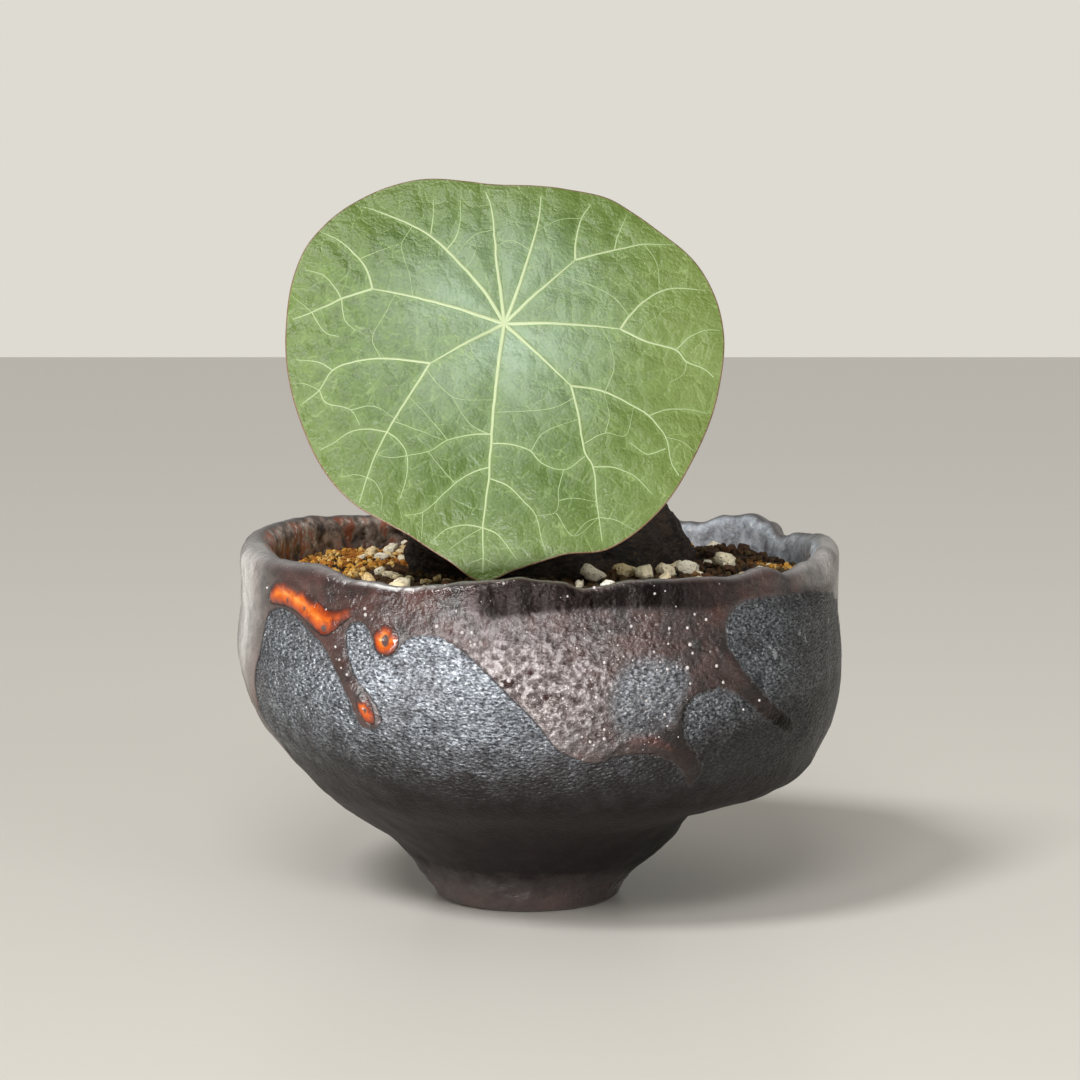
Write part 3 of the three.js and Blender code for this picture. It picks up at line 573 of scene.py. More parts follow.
def makeBowl(material):
    columns, bevel = bowl["columns"], bowl["footBevel"]
    degrees = np.arange(columns) / columns * 360
    crest, lip = roundTable(rimCrest, degrees), roundTable(lipThickness, degrees)
    lipLevel = crest - lip / 2
    lipCentre = wallRadius(degrees, lipLevel) - lip / 2
    foot = wallRadius(degrees, 0 * degrees)
    rows = [(foot - bevel, 0 * foot)]
    for share in np.linspace(0, 1, bowl["outerRows"]):
        level = bevel + (lipLevel - bevel) * share
        rows.append((wallRadius(degrees, level), level))
    for turn in np.linspace(0, np.pi, bowl["lipRows"] + 1)[1:]:
        rows.append((lipCentre + lip / 2 * np.cos(turn), lipLevel + lip / 2 * np.sin(turn)))
    lipEnd = len(rows)
    for share in np.linspace(0, 1, bowl["rimRows"])[1:]:
        rows.append(innerWall(degrees, lipLevel + (bowl["reliefEnds"] - lipLevel) * share))
    reliefEnd = len(rows)
    rows += [innerWall(degrees, level + 0 * degrees) for level in bowl["innerLevels"]]
    floor, recess, ring = bowl["floorHeight"], bowl["footRecess"], foot - bowl["footRing"]
    for radius, level in [(foot - 0.5, floor), (bowl["drainRadius"], floor), (bowl["drainRadius"], recess),
                          (ring - bevel, recess), (ring, 0)]:
        rows.append((radius + 0 * foot, level + 0 * foot))
    radius, height = (np.array([row[k] for row in rows]) for k in (0, 1))
    around = np.broadcast_to(degrees, radius.shape).copy()
    points = bowlPoint(around, radius, height)

    upwards = np.roll(points, -1, axis=0) - np.roll(points, 1, axis=0)
    sideways = np.roll(points, -1, axis=1) - np.roll(points, 1, axis=1)
    normals = np.cross(sideways, upwards)
    normals /= np.linalg.norm(normals, axis=2)[..., None] + 1e-9

    row = np.arange(len(rows))[:, None] + 0 * degrees
    inside = np.clip((row - lipEnd + bowl["lipRows"] / 2) / 3, 0, 1)
    outside = 1 - inside

    def near(angle, halfAngle, level=0, halfHeight=None):
        # 1 at an angle, and at a level where one is given, fading over the half-widths
        share = bell(turnBetween(around, angle), halfAngle)
        return share if halfHeight is None else share * bell(height - level, halfHeight)

    skin, soft, amber, pits, paleGlint, ridge = glazeValues(around, height)
    skin, soft, amber, pits = (depth - 99 * inside for depth in (skin, soft, amber, pits))
    coat = eased((0.6 - skin) / 1.2) * outside * eased((height - 30) / 10)
    bubbles = near(*glaze["boiled"]) + 0.12 * eased((height - 45) / 20) * near(262, 48)
    bubbles = np.maximum(bubbles, 0.7 * near(*glaze["boiledBehind"]))
    bubbles = np.clip(bubbles * outside * eased((0.3 - skin) / 0.6), 0, 1)
    live = slice(1, reliefEnd)
    base, level = points[live], height[live]
    relief = np.zeros(radius.shape)
    low = eased((glaze["lowReliefFades"] - level) / 10)
    relief[live] = (0.35 * lumps(base, 15, 1) + (0.16 + 0.1 * low) * lumps(base, 6, 2)
                    + 0.16 * lumps(base, 2.6, 3, 2) * (0.25 + bubbles[live])
                    + 0.3 * lumps(base, 5, 5, 2) * eased((level - 78) / 4)
                    + 0.5 * bell(level - 3, 4.5) * lumps(base, 4.5, 4, 2))
    relief += pushed(wallFolds, around, height) * outside
    relief += 0.3 * coat + ridge * outside + 0.55 * eased((amber + 0.3) / 1.6)
    relief -= 0.9 * eased((pits + 0.4) / 0.9)
    relief *= eased(height / 2.5) * (row < reliefEnd) * eased((reliefEnd - 1 - row) / 8)
    points = points + normals * relief[..., None]

    # a red arc hangs under the soft skin
    arc = 50.2 - 0.07 * np.minimum((around - 288.5) ** 2, 120)
    redness = 0.6 * near(291, 8, arc, 1.6) + sum(much * near(*patch) for much, *patch in glaze["reddened"])
    front = near(275, 42)
    facet = outside * np.max([much * near(angle, halfAngle) * eased((height - start) / growth)
                              for much, angle, halfAngle, start, growth in glaze["facets"]], axis=0)
    lipShare = (row - bowl["outerRows"]) / bowl["lipRows"]
    # the lip's top is worn grey; at the front only a thin line, which is a painted highlight
    lipTop = bell(lipShare - 0.42, 0.16) * (1 - 0.9 * front) + 0.6 * bell(lipShare - 0.4, 0.06) * front
    # a painted highlight on the lip at the left front
    paintedLipGleam = 0.85 * bell(lipShare - 0.3, 0.06) * near(242, 8)
    # the amber melts away upwards: the streak along a falling line, then each drop
    meltLine = 85.6 - 0.3 * np.clip(around - 213, 0, 99)
    meltLine = np.where(around > 236, np.where(height > 64, 76.6, 60.4), meltLine)
    melt = eased((meltLine - height) / 5)
    # painted shadow lies in the fold under the lip
    fold = smoothThrough(around, *np.array(lipShadowFold, float).T)
    lipShadow = eased((height - fold + 0.8) / 2) * eased((around - 253) / 9) * eased((318 - around) / 26)
    lipShadow = lipShadow * outside * (1 - eased((lipShare - 0.12) / 0.22))
    lustre = near(*glaze["lustre"]) * outside
    wet = near(250, 26) * bell(lipShare - 0.2, 0.4) + 0.6 * bell(height - 3, 5) * outside
    values = {"skin": skin, "softSkin": soft, "amber": amber, "pits": pits, "bubbles": bubbles,
              "redness": redness, "facet": facet, "lipTop": lipTop, "inner": inside, "melt": melt,
              "lipShadow": lipShadow, "paleGlint": paleGlint, "lustre": lustre, "wet": wet, "paintedLipGleam": paintedLipGleam}
    return addMesh("pot_bowl", points, ringFaces(len(rows), columns, looped=True), material,
                   {name: value.ravel() for name, value in values.items()})


def makeGlazeMaterial():
    # Iron glaze on wood-fired stoneware, poured and run: glassy purple-brown with burst bubbles where it is
    # thick, a dull blue-grey wrinkled skin where it ran thin, and clear amber where ash pooled.
    material, add, shader, spot = newMaterial("ironGlazeOnStoneware")
    value = {name: add("Attribute", attribute_name=name).outputs["Fac"]
             for name in ("skin", "softSkin", "amber", "pits", "bubbles", "redness", "facet", "lipTop",
                          "inner", "melt", "lipShadow", "paleGlint", "lustre", "wet", "paintedLipGleam")}
    axes = add("SeparateXYZ", {0: spot})
    side, height = axes.outputs["X"], axes.outputs["Z"]
    # the wrinkles lie along the wall: 1.1 mm long and half as tall
    squashed = add("VectorMath", {0: spot, 1: (1, 1, 1.8)}, operation="MULTIPLY")
    cloud = add("TexNoise", {"Vector": spot, "Scale": 1 / 13, "Detail": 4})
    mottle = add("TexNoise", {"Vector": spot, "Scale": 1 / 4.5, "Detail": 4, "Roughness": 0.6})
    peel = add("TexNoise", {"Vector": spot, "Scale": 1 / 1.6, "Detail": 3, "Roughness": 0.55})
    wrinkle = add("TexNoise", {"Vector": squashed, "Scale": 1 / 0.95, "Detail": 3, "Roughness": 0.6,
                               "Distortion": 0.5})
    cells = add("TexVoronoi", {"Vector": squashed, "Scale": 1 / 1.05}, feature="SMOOTH_F1")
    bubble = add("TexVoronoi", {"Vector": spot, "Scale": 1 / 2.1}).outputs["Distance"]
    # dark runs down the wall, 3 mm wide
    upright = add("VectorMath", {0: spot, 1: (1, 1, 0.2)}, operation="MULTIPLY")
    runs = add("TexNoise", {"Vector": upright, "Scale": 1 / 3.2, "Detail": 3})

    # masks: the coat ends crisply at the left and thins out softly at the right
    lessDrawn = add("MapRange", {"Value": side, "From Min": -5, "From Max": 34, "To Min": 1, "To Max": 0.26})
    skinDepth = add("Math", {0: value["skin"], 1: lessDrawn}, operation="MULTIPLY")
    skinEdge = add("Math", {0: peel, 1: 0.9, 2: skinDepth}, operation="MULTIPLY_ADD")
    skinMask = add("MapRange", {"Value": skinEdge, "From Min": 0.38, "From Max": 0.62})
    softMask = add("MapRange", {"Value": value["softSkin"], "From Min": -1.6, "From Max": 1.6,
                                "To Max": 0.75})
    skinMask = add("Math", {0: skinMask, 1: softMask}, operation="MAXIMUM")
    levelNoise = add("Math", {0: mottle, 1: 9, 2: height}, operation="MULTIPLY_ADD")
    # below the belly the glaze is near black: partly its own dark brown, partly painted shade, with little
    # reflection
    lowMask = add("MapRange", {"Value": levelNoise, "From Min": 46, "From Max": 36})
    aboveFoot = add("MapRange", {"Value": levelNoise, "From Min": 8, "From Max": 16})
    outside = add("Math", {0: 1, 1: value["inner"]}, operation="SUBTRACT")
    for factor in (aboveFoot, outside):
        lowMask = add("Math", {0: lowMask, 1: factor}, operation="MULTIPLY")
    notLow = add("Math", {0: 1, 1: lowMask}, operation="SUBTRACT")

    # the glassy coat: plain dark brown round the foot, painted shade to the right low down, satin on the
    # facets
    blotch = add("MapRange", {"Value": mottle, "From Min": 0.42, "From Max": 0.68, "To Max": 0.5})
    footed = add("MapRange", {"Value": height, "From Min": 18, "From Max": 8, "To Max": 0.7})
    # painted shade: coat and skin grow darker towards the right
    rightShade = add("MapRange", {"Value": side, "From Min": 8, "From Max": 70, "To Max": 0.75})
    shaded = add("MapRange", {"Value": levelNoise, "From Min": 72, "From Max": 52, "To Max": 1.9})
    shaded = add("Math", {0: shaded, 1: rightShade}, operation="MULTIPLY", use_clamp=True)
    redSpots = add("Math", {0: mottle, 1: value["redness"]}, operation="MULTIPLY")
    redSpots = add("MapRange", {"Value": redSpots, "From Min": 0.12, "From Max": 0.5})
    # pale satin facets: partly their own colour, partly painted light where light grazes them
    satinAndLight = add("MapRange", {"Value": mottle, "From Min": 0.36, "From Max": 0.56, "To Min": 0.6,
                             "To Max": 0.9})
    satinAndLight = add("Math", {0: value["facet"], 1: satinAndLight}, operation="MULTIPLY")
    # the lustre: a metal sheen whose colour is painted lighter where the highlight falls
    highlightTint = add("ValToRGB", {"Fac": peel}, [(0.36, "#5c5251"), (0.5, "#8b8180"), (0.64, "#c0b8b8")])
    # painted shadow under the lip: near black, dull and with little reflection
    lipShadowMask = add("Math", {0: runs, 1: 0.7, 2: 0.55}, operation="MULTIPLY_ADD")
    lipShadowMask = add("Math", {0: lipShadowMask, 1: value["lipShadow"]}, operation="MULTIPLY", use_clamp=True)
    coat = add("ValToRGB", {"Fac": cloud},
               [(0.32, "#0e0807"), (0.45, "#1d1210"), (0.57, "#2d1c19"), (0.7, "#3e2824")])
    for mask, over in ((blotch, "#432824"), (footed, "#2b2523"), (shaded, "#0f0a09"), (redSpots, "#451b12"),
                       (satinAndLight, "#b7b5b0"), (value["lustre"], highlightTint), (lipShadowMask, "#130e0d")):
        coat = add("Mix", {0: mask, 6: coat, 7: over}, data_type="RGBA")

    # the leathery skin: crystals in it give a dull metal lustre; painted shade darkens it low down and
    # towards both sides
    deeper = add("MapRange", {"Value": mottle, "From Min": 0.58, "From Max": 0.34, "To Max": 0.5})
    brownish = add("MapRange", {"Value": cloud, "From Min": 0.5, "From Max": 0.72, "To Max": 0.55})
    # painted shade, deeper low down and towards the right
    shadeLine = add("Math", {0: mottle, 1: 14, 2: height}, operation="MULTIPLY_ADD")
    shadeLine = add("Math", {0: rightShade, 1: -20, 2: shadeLine}, operation="MULTIPLY_ADD")
    lowAndSideShade = add("MapRange", {"Value": shadeLine, "From Min": 70, "From Max": 47, "To Max": 0.92})
    leftward = add("MapRange", {"Value": side, "From Min": -34, "From Max": -60, "To Max": 0.24})
    for mask in (rightShade, leftward):
        lowAndSideShade = add("Math", {0: lowAndSideShade, 1: mask}, operation="MAXIMUM")
    # painted highlights as pale streaks on the skin
    paleGlintEdge = add("Math", {0: peel, 1: 1.1, 2: value["paleGlint"]}, operation="MULTIPLY_ADD")
    paleGlintMask = add("MapRange", {"Value": paleGlintEdge, "From Min": 0.6, "From Max": 0.95, "To Max": 0.8})
    skin = add("ValToRGB", {"Fac": wrinkle},
               [(0.34, "#303135"), (0.46, "#6c7178"), (0.59, "#a4a9af"), (0.72, "#dfe3e7")])
    for mask, over in ((deeper, "#2c2d31"), (brownish, "#5c5759"), (lowAndSideShade, "#1e1918"),
                       (paleGlintMask, "#b4b8ba")):
        skin = add("Mix", {0: mask, 6: skin, 7: over}, data_type="RGBA")
    low = add("Mix", {0: mottle, 6: "#100d0d", 7: "#272020"}, data_type="RGBA")

    # a thin dark line where coat and skin meet, a worn lip with a painted highlight line at the front, and a
    # painted gleam on the lip
    rimLine = add("Math", {0: value["skin"]}, operation="ABSOLUTE")
    rimLine = add("MapRange", {"Value": rimLine, "From Min": 0.6, "From Max": 0.1, "To Max": 1.1})
    for factor in (cloud, notLow, lessDrawn):
        rimLine = add("Math", {0: rimLine, 1: factor}, operation="MULTIPLY")
    wornLipAndHighlight = add("Math", {0: value["lipTop"], 1: 0.6}, operation="MULTIPLY")
    paintedLipGleam = add("MapRange", {"Value": runs, "From Min": 0.4, "From Max": 0.56})
    paintedLipGleam = add("Math", {0: paintedLipGleam, 1: value["paintedLipGleam"]}, operation="MULTIPLY")

    # inside the rim: blue-grey at the right, brown with rust runs at the left
    rightward = add("MapRange", {"Value": side, "From Min": -12, "From Max": 26})
    warm = add("ValToRGB", {"Fac": mottle},
               [(0.36, "#30241f"), (0.48, "#87746a"), (0.6, "#c8b8ad"), (0.7, "#ecdfd4")])
    rust = add("Math", {0: mottle, 1: 0.5}, operation="MULTIPLY")
    rust = add("Math", {0: runs, 1: 0.5, 2: rust}, operation="MULTIPLY_ADD")
    rust = add("MapRange", {"Value": rust, "From Min": 0.5, "From Max": 0.56, "To Max": 0.85})
    warm = add("Mix", {0: rust, 6: warm, 7: "#a2491a"}, data_type="RGBA")
    cool = add("ValToRGB", {"Fac": mottle},
               [(0.34, "#706d74"), (0.46, "#a3a8b1"), (0.58, "#c2c9d3"), (0.7, "#d8dee6")])
    lining = add("Mix", {0: rightward, 6: warm, 7: cool}, data_type="RGBA")
    # pale specks, and painted glints, half a millimetre wide
    specksAndGlints = add("TexVoronoi", {"Vector": spot, "Scale": 1 / 2.4}).outputs["Distance"]
    specksAndGlints = add("MapRange", {"Value": specksAndGlints, "From Min": 0.24, "From Max": 0.16})
    specksAndGlints = add("Math", {0: specksAndGlints, 1: blotch}, operation="MULTIPLY")
    specksAndGlints = add("Math", {0: specksAndGlints, 1: 2}, operation="MULTIPLY", use_clamp=True)
    lining = add("Mix", {0: specksAndGlints, 6: lining, 7: "#efece4"}, data_type="RGBA")

    # amber pools, with a dark line round them, and pits
    amberMask = add("MapRange", {"Value": value["amber"], "From Min": -0.1, "From Max": 0.12})
    meltMask = add("Math", {0: mottle, 1: 1.9, 2: value["melt"]}, operation="MULTIPLY_ADD")
    meltMask = add("MapRange", {"Value": meltMask, "From Min": 1, "From Max": 1.85})
    amberMask = add("Math", {0: amberMask, 1: meltMask}, operation="MULTIPLY")
    depth = add("Math", {0: mottle, 1: 1.8, 2: value["amber"]}, operation="MULTIPLY_ADD")
    depth = add("Math", {0: peel, 1: 1.7, 2: depth}, operation="MULTIPLY_ADD")
    depth = add("MapRange", {"Value": depth, "From Min": 1.3, "From Max": 5})
    depth = add("Math", {0: depth, 1: meltMask}, operation="MULTIPLY")
    amber = add("ValToRGB", {"Fac": depth}, [(0, "#130603"), (0.14, "#350e04"), (0.32, "#611f04"),
                                             (0.54, "#883505"), (0.78, "#a14c0c"), (1, "#b8702f")])
    amberLine = add("Math", {0: value["amber"], 1: 0.15}, operation="ADD")
    amberLine = add("Math", {0: amberLine}, operation="ABSOLUTE")
    amberLine = add("MapRange", {"Value": amberLine, "From Min": 0.4, "From Max": 0.1, "To Max": 0.8})
    amberLine = add("Math", {0: amberLine, 1: value["melt"]}, operation="MULTIPLY")
    pitMask = add("MapRange", {"Value": value["pits"], "From Min": -0.1, "From Max": 0.1})

    colour = coat
    for mask, over in ((skinMask, skin), (lowMask, low), (rimLine, "#120e0f"), (wornLipAndHighlight, "#8f8c8b"),
                       (paintedLipGleam, "#dcdad8"), (value["inner"], lining), (amberMask, amber),
                       (amberLine, "#170b09"), (pitMask, "#43312e")):
        colour = add("Mix", {0: mask, 6: colour, 7: over}, data_type="RGBA")

    # roughness: glassy coat, duller skin, wet amber
    rough = add("MapRange", {"Value": peel, "From Min": 0.3, "From Max": 0.7, "To Min": 0.16,
                             "To Max": 0.34})
    duller = add("Math", {0: value["bubbles"], 1: -0.9, 2: 0.3}, operation="MULTIPLY_ADD")
    for mask in (satinAndLight, lipShadowMask):
        duller = add("Math", {0: duller, 1: mask}, operation="MAXIMUM")
    skinRough = add("MapRange", {"Value": wrinkle, "From Min": 0.3, "From Max": 0.7, "To Min": 0.5,
                                 "To Max": 0.36})
    for mask, over in ((duller, 0.52), (value["wet"], 0.1), (skinMask, skinRough), (lowMask, 0.55),
                       (amberMask, 0.08)):
        rough = add("Mix", {0: mask, 2: rough, 3: over}, data_type="FLOAT")
    glassy = add("Math", {0: 1, 1: skinMask}, operation="SUBTRACT")
    metal = add("Math", {0: skinMask, 1: notLow}, operation="MULTIPLY")
    metal = add("Math", {0: metal, 1: 0.85}, operation="MULTIPLY")
    metal = add("Math", {0: lowMask, 1: 0.9, 2: metal}, operation="MULTIPLY_ADD")
    lustre = add("Math", {0: value["lustre"], 1: 0.8}, operation="MULTIPLY")
    shadedCoat = add("Math", {0: shaded, 1: glassy}, operation="MULTIPLY")
    for mask in (lipShadowMask, lustre, shadedCoat):
        metal = add("Math", {0: metal, 1: mask}, operation="MAXIMUM")

    # bump: wrinkles on the skin, peel and burst bubbles on the coat, deeper and creased where it boiled
    crease = add("Math", {0: wrinkle, 1: cells.outputs["Distance"]}, operation="ADD")
    creased = add("Math", {0: crease, 1: skinMask}, operation="MULTIPLY")
    creased = add("Math", {0: creased, 1: 1.35}, operation="MULTIPLY")
    burst = add("MapRange", {"Value": bubble, "From Min": 0.1, "From Max": 0.42, "To Max": 1.5})
    pitted = add("Math", {0: burst, 1: value["bubbles"]}, operation="MULTIPLY")
    grit = add("TexNoise", {"Vector": spot, "Scale": 1 / 0.7, "Detail": 2})
    boiled = add("Math", {0: value["lustre"], 1: value["bubbles"]}, operation="ADD")
    blister = add("Math", {0: boiled, 1: 1.5, 2: 0.9}, operation="MULTIPLY_ADD")
    boiled = add("Math", {0: boiled, 1: crease}, operation="MULTIPLY")
    dented = add("Math", {0: value["facet"], 1: footed}, operation="MAXIMUM")
    dented = add("Math", {0: dented, 1: mottle}, operation="MULTIPLY")
    uneven = pitted
    for part, much in ((peel, blister), (grit, 0.35), (boiled, 1), (dented, 2)):
        uneven = add("Math", {0: part, 1: much, 2: uneven}, operation="MULTIPLY_ADD")
    uneven = add("Math", {0: uneven, 1: glassy}, operation="MULTIPLY")
    relief = add("Math", {0: creased, 1: uneven}, operation="ADD")
    dulled = add("MapRange", {"Value": lowMask, "To Min": 1, "To Max": 0.25})
    notAmber = add("Math", {0: 1, 1: amberMask}, operation="SUBTRACT")
    for factor in (dulled, notAmber):
        relief = add("Math", {0: relief, 1: factor}, operation="MULTIPLY")
    bump = add("Bump", {"Height": relief, "Distance": 0.42 * mm, "Strength": 1})

    # a glaze rich in iron bends light more than glass
    fillSockets(shader, {"Base Color": colour, "Roughness": rough, "Metallic": metal, "IOR": 1.65,
                         "Normal": bump})
    return material


def beadTree(material, sizes):
    # small round beads, half sunk, thickest where the glaze boiled
    tree, add, given, result = geometryTree("beads on the glaze", sizes)
    share = add("GeometryNodeInputNamedAttribute", {"Name": "bubbles"}, data_type="FLOAT")
    flock = add("TexNoise", {"Scale": 1 / (5 * mm), "Detail": 2})
    flock = add("MapRange", {"Value": flock, "From Min": 0.44, "From Max": 0.6, "To Min": 0.12})
    share = add("Math", {0: share.outputs["Attribute"], 1: flock}, operation="MULTIPLY")
    spots = add("GeometryNodeDistributePointsOnFaces", {
        "Mesh": given["Geometry"], "Distance Min": given["Spacing"], "Density Factor": share,
        "Density Max": given["Beads per square metre"], "Seed": given["Seed"]}, distribute_method="POISSON")
    bead = add("GeometryNodeMeshUVSphere", {"Segments": 8, "Rings": 5, "Radius": given["Bead radius"]})
    chance = add("FunctionNodeRandomValue", {2: 0, 3: 1, "Seed": 5}, data_type="FLOAT")
    # most beads are small and a few are twice as wide
    grow = add("Math", {0: chance.outputs[1], 1: 5}, operation="POWER")
    grow = add("Math", {0: grow, 1: 1.6, 2: 0.6}, operation="MULTIPLY_ADD")
    sized = add("GeometryNodeStoreNamedAttribute", {"Geometry": spots.outputs["Points"], "Name": "laid",
                                                    "Value": grow}, data_type="FLOAT")
    laid = add("GeometryNodeInputNamedAttribute", {"Name": "laid"}, data_type="FLOAT").outputs["Attribute"]
    chosen = add("FunctionNodeCompare", {0: laid, 1: 0.01}, operation="GREATER_THAN")
    placed = add("GeometryNodeMeshToPoints", {"Mesh": given["Geometry"], "Selection": chosen})
    every = add("GeometryNodeJoinGeometry", {0: sized})
    fillSockets(every, {0: placed})
    beads = add("GeometryNodeInstanceOnPoints", {
        "Points": every, "Instance": bead.outputs["Mesh"], "Scale": laid})
    closeTree(add, beads, True, material, result)
    return tree


def makeBeads(pot, material):
    sizes = {"Spacing": 0.8 * mm, "Beads per square metre": 300000.0, "Bead radius": 0.22 * mm, "Seed": 3}
    source = placeObject("glaze", pot.data.copy())
    # the laid beads are loose points beside the wall's faces
    degrees, height, radius = np.array(laidBeads).T
    points = bowlPoint(degrees, wallRadius(degrees, height) + 0.25, height) * mm
    first = len(source.data.vertices)
    source.data.vertices.add(len(points))
    laid = source.data.attributes.new("laid", "FLOAT", "POINT").data
    for i, (point, size) in enumerate(zip(points, radius * mm / sizes["Bead radius"])):
        source.data.vertices[first + i].co = point
        laid[first + i].value = size
    return growPiece("pot_glaze_beads", source, beadTree(material, sizes), sizes)


def makeBeadMaterial():
    # Glass that froze in drops on the glaze: clear grey, wet looking
    material, add, shader, _ = newMaterial("glassyBeads")
    fillSockets(shader, {"Base Color": "#938d8b", "Roughness": 0.08})
    return material


pot = makeBowl(makeGlazeMaterial())
beads = makeBeads(pot, makeBeadMaterial())
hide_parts("pot")
for piece in (pot, beads):
    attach(piece, "root")
print("bowl ready:", len(pot.data.polygons), "and", len(beads.data.polygons), "faces")


# The leaf: one round blade on a joint a third of the way down, with its veins raised on both faces

blade = {
    "columns": 384,
    "rings": 74,
    "thickness": 0.7,
    "edge": 0.3,                  # thickness at the margin
    "joint": (-8.3, -36, 143),
    "lean": 22,
    "puff": 0.45,                 # the blade swells this much between its veins
    "knobRadius": 2.1,
    "knobDepth": 1.6,
    # how far behind the blade, and radius there
    "knobRings": [(0, 2.9), (0.4, 2.75), (0.9, 2.35), (1.4, 2.15), (1.75, 2.0), (1.95, 1.5)],
}
leafOutline = [
    (0, 51.4), (17, 48.6), (35, 43.2), (53, 40.5), (68, 37), (88, 35.1), (104, 37.4), (120, 42.6),
    (138, 47.6), (158, 51.2), (182, 51.7), (205, 52.9), (228, 55.5), (246, 55.1), (257, 57.6),
    (265, 61.2), (273, 58.6), (284, 57), (294, 58.9), (308, 57.6), (325, 54.3), (344, 52.4),
]
